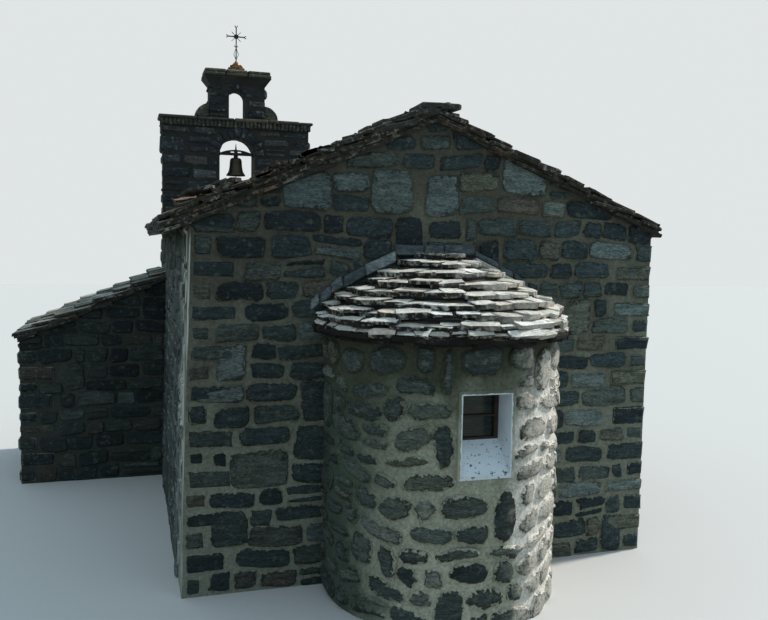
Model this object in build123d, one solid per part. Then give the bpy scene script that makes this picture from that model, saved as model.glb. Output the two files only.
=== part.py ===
from build123d import *
import os
from math import atan2, cos, degrees, hypot, radians, sin, sqrt

# A small mountain chapel of rubble stone: a nave with a half-round apse, a lean-to side room
# and a two-tier bell gable. Millimetres, +Z up. X = 0 is the axis of apse and ridge, Y = 0 the
# middle of the nave's length, Z = 0 the lowest ground level. The apse points along -Y.

# Nave
NAVE_LENGTH = 7300.0
AXIS_TO_LEFT_FACE = 2740.0
AXIS_TO_RIGHT_FACE = 2920.0
WALL = 500.0
LEFT_BATTER = 100.0
EAVE_Z = 4060.0
RIDGE_RISE = 1215.0
FLOOR_Z = 850.0
FLOOR_THICK = 150.0

# Roof of the nave
LEFT_OVERHANG = 330.0
RIGHT_OVERHANG = 140.0
VERGE_OVERHANG = 120.0
LEFT_SLAB_DEPTH = 215.0
LEFT_SLAB_STEP = 75.0
RIGHT_SLAB_DEPTH = 135.0
RIGHT_SLAB_STEP = 50.0
SLAB_COURSES = 7
RIDGE_SLAB = 55.0
RIDGE_FLAT = 260.0
RIDGE_REACH = 260.0
BOARD = 30.0
BEAM_WIDTH = 160.0
BEAM_DEPTH = 220.0
PURLIN_SHARE = 0.5

# Apse
APSE_RADIUS = 1276.0
APSE_WALL = 446.0
APSE_STUB = 302.0
APSE_HEAD = 437.0
EAVE_SLAB = 115.0
EAVE_SLAB_BED = 150.0
APSE_OVERHANG = 184.0
APSE_ROOF_RISE = 775.0
APSE_CROWN_DEPTH = 180.0
APSE_COURSES = 8
APSE_COURSE_TUCK = 24.0
APSE_BULGE = 1.35
VAULT_FACETS = 5
APSE_SLAB_SIDES = 14

# Apse window
WINDOW_WIDTH = 610.0
WINDOW_HEIGHT = 889.0
WINDOW_SILL_Z = 1574.0
SURROUND = 42.0
SURROUND_DEPTH = 300.0
SILL_RISE = 330.0
SILL_LIP = 45.0
SASH = 45.0
SASH_DEPTH = 48.0
SASH_BAR = 18.0
PANE = 6.0

# Weathering slabs on the gable above the apse roof
WEATHER_OUT = 95.0
WEATHER_THICK = 60.0
WEATHER_GAP = 55.0
WEATHER_TURNS = (0.0, 0.3, 0.6, 0.85)

# Front door
DOOR_WIDTH = 1060.0
DOOR_HEIGHT = 2050.0
DOOR_FRAME = 80.0
DOOR_FRAME_DEPTH = 110.0
DOOR_LEAF = 50.0
DOOR_REVEAL = 180.0
LEDGE = 28.0
LEDGE_WIDTH = 130.0
LEDGE_SHARES = (0.12, 0.5, 0.88)

# Lean-to side room
ANNEX_WIDTH = 2250.0
ANNEX_REAR_Y = 1230.0
ANNEX_WALL = 450.0
ANNEX_TOP_Z = 3270.0
ANNEX_DROP = 1010.0
ANNEX_OVERHANG = 90.0
ANNEX_SLAB_DEPTH = 165.0
ANNEX_SLAB_STEP = 55.0
ANNEX_COURSES = 6
ANNEX_DOOR_WIDTH = 780.0
ANNEX_DOOR_HEIGHT = 1720.0
ANNEX_DOOR_FROM_NAVE = 330.0

# Bell gable
GABLE_TO_RIDGE = 30.0
BELL_OPENING_WIDTH = 660.0
BELL_SILL_HEIGHT = 940.0
BELL_JAMB = 490.0
BELL_HEAD = 510.0
DENTIL_HEIGHT = 112.0
DENTIL_PITCH = 96.0
DENTIL_GAP = 26.0
DENTIL_PROUD = 45.0
DENTIL_BACK = 22.0
CORNICE_SLAB = 60.0
CORNICE_OVERHANG = 80.0
UPPER_WIDTH = 1014.0
UPPER_OPENING_WIDTH = 320.0
UPPER_JAMB = 383.0
UPPER_HEAD = 55.0
CAP_FLARE = 160.0
CAP_SLAB = 130.0
CAP_WIDTH = 1250.0
CAP_OVERHANG_Y = 70.0
VOLUTE_RADIUS = 270.0
VOLUTE_DEPTH = 420.0
FINIAL_WIDTH = 420.0
FINIAL_HEIGHT = 215.0
FINIAL_TIP = 90.0

# Cross
CROSS_STEM = 452.0
CROSS_TOP_ARM = 210.0
CROSS_HALF_SPAN = 194.0
CROSS_BAR = 20.0
CROSS_DEPTH = 16.0
CROSS_PRONG = 42.0
CROSS_PRONG_SPREAD = 26.0
CROSS_PRONG_BAR = 14.0
CROSS_DIAMOND = 58.0
CROSS_RAY = 84.0
CROSS_RAY_BAR = 9.0
CROSS_COLLAR_DROP = 167.0
CROSS_COLLAR = 36.0
CROSS_LOOP_HALF = 44.0
CROSS_SINK = 60.0

# Bell, yoke and clapper
BELL_AXIS_RISE = 50.0
JOURNAL_RADIUS = 12.0
JOURNAL_FIT = 0.05
JOURNAL_END_GAP = 7.0
BEARING_THICK = 34.0
BEARING_DROP = 42.0
BEARING_RISE = 30.0
YOKE_SIDE_GAP = 8.0
YOKE_DEPTH = 60.0
YOKE_DROP = 30.0
YOKE_END_RISE = 16.0
YOKE_RISE = 74.0
YOKE_SLOT_LENGTH = 76.0
YOKE_SLOT_HEIGHT = 24.0
YOKE_SLOT_GAP = 9.0
YOKE_SLOT_RISE = 31.0
YOKE_SPIKE = 196.0
YOKE_SPIKE_WIDTH = 40.0
YOKE_SPIKE_NECK = 28.0
CROWN_GAP = 45.0
CANON_RADIUS = 26.0
CANON_DEPTH = 30.0
BELL_HEIGHT = 340.0
BELL_MOUTH_RADIUS = 181.0
BELL_SKIN = 13.0
BELL_LIP = 22.0
BELL_SIDES = 24
CLAPPER_PIN_RADIUS = 6.0
CLAPPER_PIN_DROP = 34.0
CLAPPER_EYE_RADIUS = 16.0
CLAPPER_EYE_WIDTH = 14.0
CLAPPER_LUG = 8.0
CLAPPER_LUG_GAP = 1.0
CLAPPER_ROD = 13.0
CLAPPER_BALL_RADIUS = 29.0
CLAPPER_BALL_RISE = 17.0
CLAPPER_TAIL = 46.0
BALL_SIDES = 12
BALL_RINGS = 4
BALL_END = 68.0

# The bell's outline from mouth to crown, as shares of the mouth's radius and of the height
BELL_PROFILE = ((1.0, 0.0), (0.87, 0.12), (0.7, 0.34), (0.6, 0.62), (0.52, 0.88), (0.42, 0.97), (0.28, 1.0))
BELL_HOLLOW = ((1.0, 0.0), (0.7, 0.34), (0.53, 0.86), (0.28, 1.0))

# Places that follow from the sizes above
REAR_Y = -NAVE_LENGTH / 2
FRONT_Y = NAVE_LENGTH / 2
REAR_INNER_Y = REAR_Y + WALL
FRONT_INNER_Y = FRONT_Y - WALL
LEFT_INNER_X = -AXIS_TO_LEFT_FACE + WALL
RIGHT_INNER_X = AXIS_TO_RIGHT_FACE - WALL
APEX_Z = EAVE_Z + RIDGE_RISE
LEFT_PITCH = RIDGE_RISE / AXIS_TO_LEFT_FACE
RIGHT_PITCH = RIDGE_RISE / AXIS_TO_RIGHT_FACE
APSE_Y = REAR_Y - APSE_STUB
APSE_INNER = APSE_RADIUS - APSE_WALL
APSE_FRONT_Y = APSE_Y - APSE_RADIUS
SPRING_Z = WINDOW_SILL_Z + WINDOW_HEIGHT
APSE_EAVE_Z = SPRING_Z + APSE_HEAD
APSE_ROOF_Z = APSE_EAVE_Z + EAVE_SLAB
APSE_TOP_Z = APSE_ROOF_Z + APSE_ROOF_RISE
APSE_FILL_TOP_Z = APSE_TOP_Z - APSE_CROWN_DEPTH
GABLE_LEFT_X = -AXIS_TO_LEFT_FACE
GABLE_RIGHT_X = -GABLE_TO_RIDGE
GABLE_WIDTH = GABLE_RIGHT_X - GABLE_LEFT_X
GABLE_X = (GABLE_LEFT_X + GABLE_RIGHT_X) / 2
GABLE_Y = FRONT_Y - WALL / 2
BELL_SILL_Z = EAVE_Z + BELL_SILL_HEIGHT
BELL_SPRING_Z = BELL_SILL_Z + BELL_JAMB
BELL_AXIS_Z = BELL_SPRING_Z + BELL_AXIS_RISE
CORNICE_Z = BELL_SPRING_Z + BELL_HEAD
CORNICE_TOP_Z = CORNICE_Z + DENTIL_HEIGHT + CORNICE_SLAB
UPPER_SPRING_Z = CORNICE_TOP_Z + UPPER_JAMB
NECK_Z = UPPER_SPRING_Z + UPPER_OPENING_WIDTH / 2 + UPPER_HEAD
CAP_Z = NECK_Z + CAP_FLARE
CAP_TOP_Z = CAP_Z + CAP_SLAB
FINIAL_TOP_Z = CAP_TOP_Z + FINIAL_HEIGHT
CROSS_ARMS_Z = FINIAL_TOP_Z + CROSS_STEM
CROSS_TOP_Z = CROSS_ARMS_Z + CROSS_TOP_ARM
CROSS_COLLAR_Z = CROSS_ARMS_Z - CROSS_COLLAR_DROP
ANNEX_LEFT_X = -AXIS_TO_LEFT_FACE - ANNEX_WIDTH
ANNEX_PITCH = ANNEX_DROP / ANNEX_WIDTH
FAR = 20000.0


def block(x0, x1, y0, y1, z0, z1):
    middle = Pos((x0 + x1) / 2, (y0 + y1) / 2, (z0 + z1) / 2)
    return middle * Box(x1 - x0, y1 - y0, z1 - z0)


def prism_y(points, y0, y1):
    """A polygon of (x, z) points, drawn out along Y."""
    outline = Polyline(*[(x, y0, z) for x, z in points], close=True)
    return extrude(make_face(outline), amount=y1 - y0, dir=(0, 1, 0))


def roof_z(x):
    """Underside of the nave's slabs at x."""
    return APEX_Z + x * LEFT_PITCH if x < 0 else APEX_Z - x * RIGHT_PITCH


def left_face_x(z):
    """Outer face of the left wall, which leans outward to its foot."""
    return -AXIS_TO_LEFT_FACE - LEFT_BATTER * max(0.0, 1 - z / EAVE_Z)


def annex_roof_z(x):
    """Underside of the side room's slabs at x."""
    return ANNEX_TOP_Z + (x + AXIS_TO_LEFT_FACE) * ANNEX_PITCH


def arch_cut(half_width, spring_z, x, y0, y1):
    """A half-round head above spring_z, to be cut from a wall."""
    axis = Plane(origin=(x, y0, spring_z), x_dir=(1, 0, 0), z_dir=(0, 1, 0))
    drum = extrude(axis * Circle(half_width), amount=y1 - y0)
    return drum & block(x - half_width, x + half_width, y0, y1, spring_z, spring_z + half_width)


def nave_outline():
    return [(left_face_x(0), 0), (AXIS_TO_RIGHT_FACE, 0), (AXIS_TO_RIGHT_FACE, roof_z(AXIS_TO_RIGHT_FACE)),
            (0, APEX_Z), (-AXIS_TO_LEFT_FACE, roof_z(-AXIS_TO_LEFT_FACE))]


def gable_envelope():
    """All the space that the bell gable and what is in front of it may take."""
    return block(-FAR, GABLE_RIGHT_X, FRONT_INNER_Y, FAR, 0, FAR)


# Rear wall, with the arch to the apse

def rear_wall_piece(x0, x1):
    wall = prism_y(nave_outline(), REAR_Y, REAR_INNER_Y)
    return wall & block(x0, x1, REAR_Y, REAR_INNER_Y, 0, SPRING_Z)


def rear_gable():
    wall = prism_y(nave_outline(), REAR_Y, REAR_INNER_Y)
    upper = wall & block(-FAR, FAR, REAR_Y, REAR_INNER_Y, SPRING_Z, FAR)
    return upper - arch_cut(APSE_INNER, SPRING_Z, 0, REAR_Y, REAR_INNER_Y)


# Side walls

def left_side_wall():
    points = [(left_face_x(0), 0), (LEFT_INNER_X, 0), (LEFT_INNER_X, roof_z(LEFT_INNER_X)),
              (-AXIS_TO_LEFT_FACE, roof_z(-AXIS_TO_LEFT_FACE))]
    return prism_y(points, REAR_INNER_Y, FRONT_INNER_Y)


def right_side_wall():
    points = [(RIGHT_INNER_X, 0), (AXIS_TO_RIGHT_FACE, 0), (AXIS_TO_RIGHT_FACE, roof_z(AXIS_TO_RIGHT_FACE)),
              (RIGHT_INNER_X, roof_z(RIGHT_INNER_X))]
    return prism_y(points, REAR_INNER_Y, FRONT_INNER_Y)


# Front wall and its door

DOOR_TOP_Z = FLOOR_Z + DOOR_HEIGHT


def front_wall_piece(x0, x1):
    wall = prism_y(nave_outline(), FRONT_INNER_Y, FRONT_Y)
    return wall & block(x0, x1, FRONT_INNER_Y, FRONT_Y, 0, DOOR_TOP_Z)


def front_gable():
    wall = prism_y(nave_outline(), FRONT_INNER_Y, FRONT_Y)
    upper = wall & block(-FAR, FAR, FRONT_INNER_Y, FRONT_Y, DOOR_TOP_Z, FAR)
    return upper - block(-FAR, GABLE_RIGHT_X, FRONT_INNER_Y, FRONT_Y, EAVE_Z, FAR)


def door_threshold():
    return block(-DOOR_WIDTH / 2, DOOR_WIDTH / 2, FRONT_INNER_Y, FRONT_Y, 0, FLOOR_Z)


def door_frame():
    y1 = FRONT_Y - DOOR_REVEAL
    y0 = y1 - DOOR_FRAME_DEPTH
    frame = block(-DOOR_WIDTH / 2, DOOR_WIDTH / 2, y0, y1, FLOOR_Z, DOOR_TOP_Z)
    half = DOOR_WIDTH / 2 - DOOR_FRAME
    return frame - block(-half, half, y0, y1, FLOOR_Z, DOOR_TOP_Z - DOOR_FRAME)


def ledged_door(half_width, y_front, z0, z1, centre_x):
    """A plank leaf with three ledges across its inner side."""
    y_back = y_front - DOOR_LEAF
    leaf = block(centre_x - half_width, centre_x + half_width, y_back, y_front, z0, z1)
    for share in LEDGE_SHARES:
        z = z0 + (z1 - z0) * share
        leaf += block(centre_x - half_width + LEDGE, centre_x + half_width - LEDGE, y_back - LEDGE, y_back,
                      z - LEDGE_WIDTH / 2, z + LEDGE_WIDTH / 2)
    return leaf


def front_door():
    y_front = FRONT_Y - DOOR_REVEAL - (DOOR_FRAME_DEPTH - DOOR_LEAF) / 2
    return ledged_door(DOOR_WIDTH / 2 - DOOR_FRAME, y_front, FLOOR_Z, DOOR_TOP_Z - DOOR_FRAME, 0)


def floor_layer(z0, z1):
    """A layer that fills the nave, the arch and the apse between two levels."""
    layer = block(LEFT_INNER_X, RIGHT_INNER_X, REAR_INNER_Y, FRONT_INNER_Y, z0, z1)
    layer += block(-APSE_INNER, APSE_INNER, REAR_Y, REAR_INNER_Y, z0, z1)
    return layer + apse_sweep([(0, z0), (APSE_INNER, z0), (APSE_INNER, z1), (0, z1)])


def floor_fill():
    return floor_layer(0, FLOOR_Z - FLOOR_THICK)


def nave_floor():
    return floor_layer(FLOOR_Z - FLOOR_THICK, FLOOR_Z)


# Apse

def apse_sweep(points):
    """A profile of (radius, z) points, turned half round the apse and run back to the gable."""
    face = make_face(Polyline(*[(r, 0, z) for r, z in points], close=True))
    bow = Rot(0, 0, 180) * revolve(face, Axis.Z, 180)
    right = prism_y(points, 0, APSE_STUB)
    left = prism_y([(-r, z) for r, z in points], 0, APSE_STUB)
    return Pos(0, APSE_Y, 0) * (bow + right + left)


def apse_ring():
    return apse_sweep([(APSE_INNER, 0), (APSE_RADIUS, 0), (APSE_RADIUS, SPRING_Z), (APSE_INNER, SPRING_Z)])


def apse_wall_left():
    half = WINDOW_WIDTH / 2
    return apse_ring() & block(-FAR, -half, -FAR, REAR_Y, 0, SPRING_Z)


def apse_wall_right():
    half = WINDOW_WIDTH / 2
    return apse_ring() & block(half, FAR, -FAR, REAR_Y, 0, SPRING_Z)


def apse_wall_below_window():
    half = WINDOW_WIDTH / 2
    return apse_ring() & block(-half, half, -FAR, APSE_Y, 0, WINDOW_SILL_Z)


def arc_points(radius, z, start, end, steps):
    """Points (radius, z) on a circle about the axis at height z, between two angles."""
    turns = [radians(start + (end - start) * step / steps) for step in range(steps + 1)]
    return [(round(radius * cos(turn), 6), z + radius * sin(turn)) for turn in turns]


def apse_vault():
    """The half dome over the apse, with the wall head outside it and a sloping top."""
    bed = APSE_RADIUS - EAVE_SLAB_BED
    solid = apse_sweep([(0, SPRING_Z), (APSE_RADIUS, SPRING_Z), (APSE_RADIUS, APSE_EAVE_Z),
                        (bed, APSE_EAVE_Z), (bed, APSE_ROOF_Z), (0, APSE_FILL_TOP_Z)])
    return solid - apse_sweep([(0, SPRING_Z)] + arc_points(APSE_INNER, SPRING_Z, 0, 90, VAULT_FACETS))


def apse_slab_ring(radius, z0, z1):
    """A course of straight-edged slabs laid half round the apse, solid to its axis."""
    turns = [radians(180 + 180 * side / APSE_SLAB_SIDES) for side in range(APSE_SLAB_SIDES + 1)]
    bow = [(radius * cos(turn), APSE_Y + radius * sin(turn), z0) for turn in turns]
    outline = Polyline((-radius, REAR_Y, z0), *bow, (radius, REAR_Y, z0), close=True)
    return extrude(make_face(outline), amount=z1 - z0, dir=(0, 0, 1))


def apse_eave_course():
    bed = APSE_RADIUS - EAVE_SLAB_BED
    ring = apse_slab_ring(APSE_RADIUS + APSE_OVERHANG, APSE_EAVE_Z, APSE_ROOF_Z)
    return ring - apse_sweep([(0, APSE_EAVE_Z), (bed, APSE_EAVE_Z), (bed, APSE_ROOF_Z), (0, APSE_ROOF_Z)])


def apse_course_radius(share):
    return (APSE_RADIUS + APSE_OVERHANG) * (1 - share ** APSE_BULGE)


def apse_roof_slabs():
    """Slab courses that step inward and upward over the sloping fill."""
    rise = APSE_ROOF_RISE / APSE_COURSES
    rings = []
    for course in range(APSE_COURSES):
        radius = apse_course_radius(course / APSE_COURSES) - APSE_COURSE_TUCK
        z0 = APSE_ROOF_Z + course * rise
        rings.append(apse_slab_ring(radius, z0, z0 + rise))
    slabs = rings[0].fuse(*rings[1:])
    bed = APSE_RADIUS - EAVE_SLAB_BED
    return slabs - apse_sweep([(0, APSE_ROOF_Z), (bed, APSE_ROOF_Z), (0, APSE_FILL_TOP_Z)])


def apse_weathering():
    """Thin slabs let into the gable that follow the roof's outline and shed water past it."""
    first = APSE_ROOF_Z + APSE_ROOF_RISE / APSE_COURSES + WEATHER_GAP
    right = []
    for share in WEATHER_TURNS:
        right.append((apse_course_radius(share) + WEATHER_GAP, first + APSE_ROOF_RISE * share))
    lower = [(-x, z) for x, z in right] + right[::-1]
    upper = [(x, z + WEATHER_THICK) for x, z in reversed(lower)]
    return prism_y(lower + upper, REAR_Y - WEATHER_OUT, REAR_Y)


# Apse window

def window_surround():
    """White lining of the opening, with a steep sill."""
    half = WINDOW_WIDTH / 2
    y0 = APSE_FRONT_Y
    y1 = y0 + SURROUND_DEPTH
    frame = block(-half, half, y0, y1, WINDOW_SILL_Z, SPRING_Z)
    clear = half - SURROUND
    sill = [(y0, WINDOW_SILL_Z + SILL_LIP), (y1, WINDOW_SILL_Z + SILL_RISE), (y1, SPRING_Z - SURROUND),
            (y0, SPRING_Z - SURROUND)]
    outline = Polyline(*[(-clear, y, z) for y, z in sill], close=True)
    return frame - extrude(make_face(outline), amount=2 * clear, dir=(1, 0, 0))


def window_frame():
    half = WINDOW_WIDTH / 2
    y0 = APSE_FRONT_Y + SURROUND_DEPTH
    y1 = y0 + SASH_DEPTH
    low = WINDOW_SILL_Z + SILL_RISE - SASH / 2
    frame = block(-half, half, y0, y1, low, SPRING_Z)
    inner = half - SURROUND - SASH
    hole_low = WINDOW_SILL_Z + SILL_RISE + SASH / 2
    hole_top = SPRING_Z - SURROUND - SASH
    frame -= block(-inner, inner, y0, y1, hole_low, hole_top)
    middle = (hole_low + hole_top) / 2
    return frame + block(-inner, inner, y0, y1 - PANE * 2, middle - SASH_BAR / 2, middle + SASH_BAR / 2)


def window_pane():
    inner = WINDOW_WIDTH / 2 - SURROUND - SASH
    y1 = APSE_FRONT_Y + SURROUND_DEPTH + SASH_DEPTH
    hole_low = WINDOW_SILL_Z + SILL_RISE + SASH / 2
    return block(-inner, inner, y1 - PANE * 2, y1 - PANE, hole_low, SPRING_Z - SURROUND - SASH)


def window_bed():
    """Masonry behind the steep sill, under the sash."""
    half = WINDOW_WIDTH / 2
    y0 = APSE_FRONT_Y + SURROUND_DEPTH
    seat = block(-half, half, y0, APSE_Y, WINDOW_SILL_Z, WINDOW_SILL_Z + SILL_RISE - SASH / 2)
    bore = Pos(0, APSE_Y, SPRING_Z / 2) * Cylinder(APSE_INNER, SPRING_Z)
    return seat - bore


# Roof of the nave

def course_line(side, pitch, length, depth, step, courses):
    """Stepped top of a slope: (distance out from the ridge, height over the underside)."""
    stretch = sqrt(1 + pitch ** 2)
    points = []
    for course in range(courses):
        outer = length * (1 - course / courses)
        inner = length * (1 - (course + 1) / courses)
        points.append((side * outer, depth * stretch))
        points.append((side * inner, (depth - step) * stretch))
    return points


def slope_slabs(side, pitch, length, depth, step, courses, top_z, y0, y1, start_x=0.0):
    tops = course_line(side, pitch, length, depth, step, courses)
    points = [(start_x, top_z), (start_x + side * length, top_z - length * pitch)]
    points += [(start_x + x, top_z - abs(x) * pitch + height) for x, height in tops]
    return prism_y(points, y0, y1)


def roof_slabs_left():
    length = AXIS_TO_LEFT_FACE + LEFT_OVERHANG
    slabs = slope_slabs(-1, LEFT_PITCH, length, LEFT_SLAB_DEPTH, LEFT_SLAB_STEP, SLAB_COURSES, APEX_Z,
                        REAR_Y - VERGE_OVERHANG, FRONT_Y + VERGE_OVERHANG)
    return slabs - gable_envelope()


def roof_slabs_right():
    length = AXIS_TO_RIGHT_FACE + RIGHT_OVERHANG
    slabs = slope_slabs(1, RIGHT_PITCH, length, RIGHT_SLAB_DEPTH, RIGHT_SLAB_STEP, SLAB_COURSES, APEX_Z,
                        REAR_Y - VERGE_OVERHANG, FRONT_Y + VERGE_OVERHANG)
    return slabs - gable_envelope()


def top_course_z(x, pitch, length, depth, step):
    """Height of the topmost course's upper face at x."""
    stretch = sqrt(1 + pitch ** 2)
    share = abs(x) / (length / SLAB_COURSES)
    return APEX_Z - abs(x) * pitch + (depth - step + step * share) * stretch


def ridge_slabs():
    left_length = AXIS_TO_LEFT_FACE + LEFT_OVERHANG
    right_length = AXIS_TO_RIGHT_FACE + RIGHT_OVERHANG

    def left(x):
        return top_course_z(x, LEFT_PITCH, left_length, LEFT_SLAB_DEPTH, LEFT_SLAB_STEP)

    def right(x):
        return top_course_z(x, RIGHT_PITCH, right_length, RIGHT_SLAB_DEPTH, RIGHT_SLAB_STEP)

    top = left(0) + RIDGE_SLAB
    points = [(-RIDGE_REACH, left(-RIDGE_REACH)), (-RIDGE_REACH, left(-RIDGE_REACH) + RIDGE_SLAB),
              (-RIDGE_FLAT / 2, top), (RIDGE_FLAT / 2, top),
              (RIDGE_REACH, right(RIDGE_REACH) + RIDGE_SLAB), (RIDGE_REACH, right(RIDGE_REACH)),
              (0, right(0)), (0, left(0))]
    slabs = prism_y(points, REAR_Y - VERGE_OVERHANG, FRONT_Y + VERGE_OVERHANG)
    return slabs - gable_envelope()


def roof_boards(x0, x1):
    points = [(x0, roof_z(x0)), (x1, roof_z(x1)), (x1, roof_z(x1) - BOARD), (x0, roof_z(x0) - BOARD)]
    return prism_y(points, REAR_INNER_Y, FRONT_INNER_Y)


def roof_beam(x):
    """A beam whose top fits the underside of the boards."""
    x0 = x - BEAM_WIDTH / 2
    x1 = x + BEAM_WIDTH / 2
    foot = min(roof_z(x0), roof_z(x1)) - BOARD - BEAM_DEPTH
    points = [(x0, foot), (x1, foot), (x1, roof_z(x1) - BOARD)]
    if x0 < 0 < x1:
        points.append((0, APEX_Z - BOARD))
    points.append((x0, roof_z(x0) - BOARD))
    return prism_y(points, REAR_INNER_Y, FRONT_INNER_Y)


def roof_beams():
    places = (LEFT_INNER_X * PURLIN_SHARE, 0.0, RIGHT_INNER_X * PURLIN_SHARE)
    return Compound([beam for x in places for beam in roof_beam(x).solids()])


# Lean-to side room

def annex_cross_wall(y0, y1):
    """A wall across the side room, butted against the leaning wall of the nave."""
    points = [(ANNEX_LEFT_X, 0), (-AXIS_TO_LEFT_FACE, 0), (-AXIS_TO_LEFT_FACE, ANNEX_TOP_Z),
              (ANNEX_LEFT_X, annex_roof_z(ANNEX_LEFT_X))]
    return prism_y(points, y0, y1) - prism_y(nave_outline(), y0, y1)


def annex_rear_wall():
    return annex_cross_wall(ANNEX_REAR_Y, ANNEX_REAR_Y + ANNEX_WALL)


def annex_side_wall():
    inner = ANNEX_LEFT_X + ANNEX_WALL
    points = [(ANNEX_LEFT_X, 0), (inner, 0), (inner, annex_roof_z(inner)),
              (ANNEX_LEFT_X, annex_roof_z(ANNEX_LEFT_X))]
    return prism_y(points, ANNEX_REAR_Y + ANNEX_WALL, FRONT_Y - ANNEX_WALL)


ANNEX_DOOR_X1 = -AXIS_TO_LEFT_FACE - LEFT_BATTER - ANNEX_DOOR_FROM_NAVE
ANNEX_DOOR_X0 = ANNEX_DOOR_X1 - ANNEX_DOOR_WIDTH
ANNEX_DOOR_TOP_Z = FLOOR_Z + ANNEX_DOOR_HEIGHT


def annex_front_wall():
    wall = annex_cross_wall(FRONT_Y - ANNEX_WALL, FRONT_Y)
    return wall - block(ANNEX_DOOR_X0, ANNEX_DOOR_X1, -FAR, FAR, FLOOR_Z, ANNEX_DOOR_TOP_Z)


def annex_door():
    centre = (ANNEX_DOOR_X0 + ANNEX_DOOR_X1) / 2
    return ledged_door(ANNEX_DOOR_WIDTH / 2, FRONT_Y - DOOR_REVEAL, FLOOR_Z, ANNEX_DOOR_TOP_Z, centre)


def annex_floor():
    z0 = FLOOR_Z - FLOOR_THICK
    points = [(ANNEX_LEFT_X + ANNEX_WALL, z0), (left_face_x(z0), z0), (left_face_x(FLOOR_Z), FLOOR_Z),
              (ANNEX_LEFT_X + ANNEX_WALL, FLOOR_Z)]
    return prism_y(points, ANNEX_REAR_Y + ANNEX_WALL, FRONT_Y - ANNEX_WALL)


def annex_slabs():
    slabs = slope_slabs(-1, ANNEX_PITCH, ANNEX_WIDTH + ANNEX_OVERHANG, ANNEX_SLAB_DEPTH, ANNEX_SLAB_STEP,
                        ANNEX_COURSES, ANNEX_TOP_Z, ANNEX_REAR_Y - VERGE_OVERHANG, FRONT_Y + VERGE_OVERHANG,
                        -AXIS_TO_LEFT_FACE)
    return slabs - prism_y(nave_outline(), REAR_Y, FRONT_Y)


# Bell gable, lower tier

def bell_piers():
    half = BELL_OPENING_WIDTH / 2
    left = block(GABLE_LEFT_X, GABLE_X - half, FRONT_INNER_Y, FRONT_Y, EAVE_Z, BELL_SPRING_Z)
    right = block(GABLE_X + half, GABLE_RIGHT_X, FRONT_INNER_Y, FRONT_Y, EAVE_Z, BELL_SPRING_Z)
    return Compound([left, right])


def bell_sill_wall():
    half = BELL_OPENING_WIDTH / 2
    return block(GABLE_X - half, GABLE_X + half, FRONT_INNER_Y, FRONT_Y, EAVE_Z, BELL_SILL_Z)


def bell_arch():
    head = block(GABLE_LEFT_X, GABLE_RIGHT_X, FRONT_INNER_Y, FRONT_Y, BELL_SPRING_Z, CORNICE_Z)
    return head - arch_cut(BELL_OPENING_WIDTH / 2, BELL_SPRING_Z, GABLE_X, FRONT_INNER_Y, FRONT_Y)


def lower_cornice():
    """A slab on a row of small upright stones that stand proud of their bed."""
    top = CORNICE_Z + DENTIL_HEIGHT
    cornice = block(GABLE_LEFT_X - DENTIL_BACK, GABLE_RIGHT_X + DENTIL_BACK, FRONT_INNER_Y - DENTIL_BACK,
                    FRONT_Y + DENTIL_BACK, CORNICE_Z, top)
    run = GABLE_WIDTH + 2 * DENTIL_BACK
    count = int(run // DENTIL_PITCH)
    first = GABLE_X - run / 2 + (run - count * DENTIL_PITCH + DENTIL_GAP) / 2
    for number in range(count):
        x0 = first + number * DENTIL_PITCH
        cornice += block(x0, x0 + DENTIL_PITCH - DENTIL_GAP, FRONT_INNER_Y - DENTIL_PROUD,
                         FRONT_Y + DENTIL_PROUD, CORNICE_Z, top)
    return cornice + block(GABLE_LEFT_X - CORNICE_OVERHANG, GABLE_RIGHT_X + CORNICE_OVERHANG,
                           FRONT_INNER_Y - CORNICE_OVERHANG, FRONT_Y + CORNICE_OVERHANG, top, CORNICE_TOP_Z)


# Bell gable, upper tier

def upper_pillars():
    outer = UPPER_WIDTH / 2
    inner = UPPER_OPENING_WIDTH / 2
    left = block(GABLE_X - outer, GABLE_X - inner, FRONT_INNER_Y, FRONT_Y, CORNICE_TOP_Z, UPPER_SPRING_Z)
    right = block(GABLE_X + inner, GABLE_X + outer, FRONT_INNER_Y, FRONT_Y, CORNICE_TOP_Z, UPPER_SPRING_Z)
    return Compound([left, right])


CAP_DEPTH = WALL + 2 * CAP_OVERHANG_Y


def leaning_block(foot, top, z0, z1):
    """A block on the bell gable's middle whose sides lean evenly from foot (x, y) to top (x, y)."""
    reach = max(foot + top)
    slabs = []
    for low, high in zip(foot, top):
        slabs.append(prism_y([(-low / 2, z0), (low / 2, z0), (high / 2, z1), (-high / 2, z1)], -reach, reach))
    return Pos(GABLE_X, GABLE_Y, 0) * (slabs[0] & Rot(0, 0, 90) * slabs[1])


def upper_arch():
    """Arch head that flares out to the cap."""
    half = UPPER_WIDTH / 2
    head = block(GABLE_X - half, GABLE_X + half, FRONT_INNER_Y, FRONT_Y, UPPER_SPRING_Z, NECK_Z)
    head += leaning_block((UPPER_WIDTH, WALL), (CAP_WIDTH, CAP_DEPTH), NECK_Z, CAP_Z)
    return head - arch_cut(UPPER_OPENING_WIDTH / 2, UPPER_SPRING_Z, GABLE_X, FRONT_INNER_Y, FRONT_Y)


def cap_slab():
    return Pos(GABLE_X, GABLE_Y, CAP_Z + CAP_SLAB / 2) * Box(CAP_WIDTH, CAP_DEPTH, CAP_SLAB)


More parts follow.
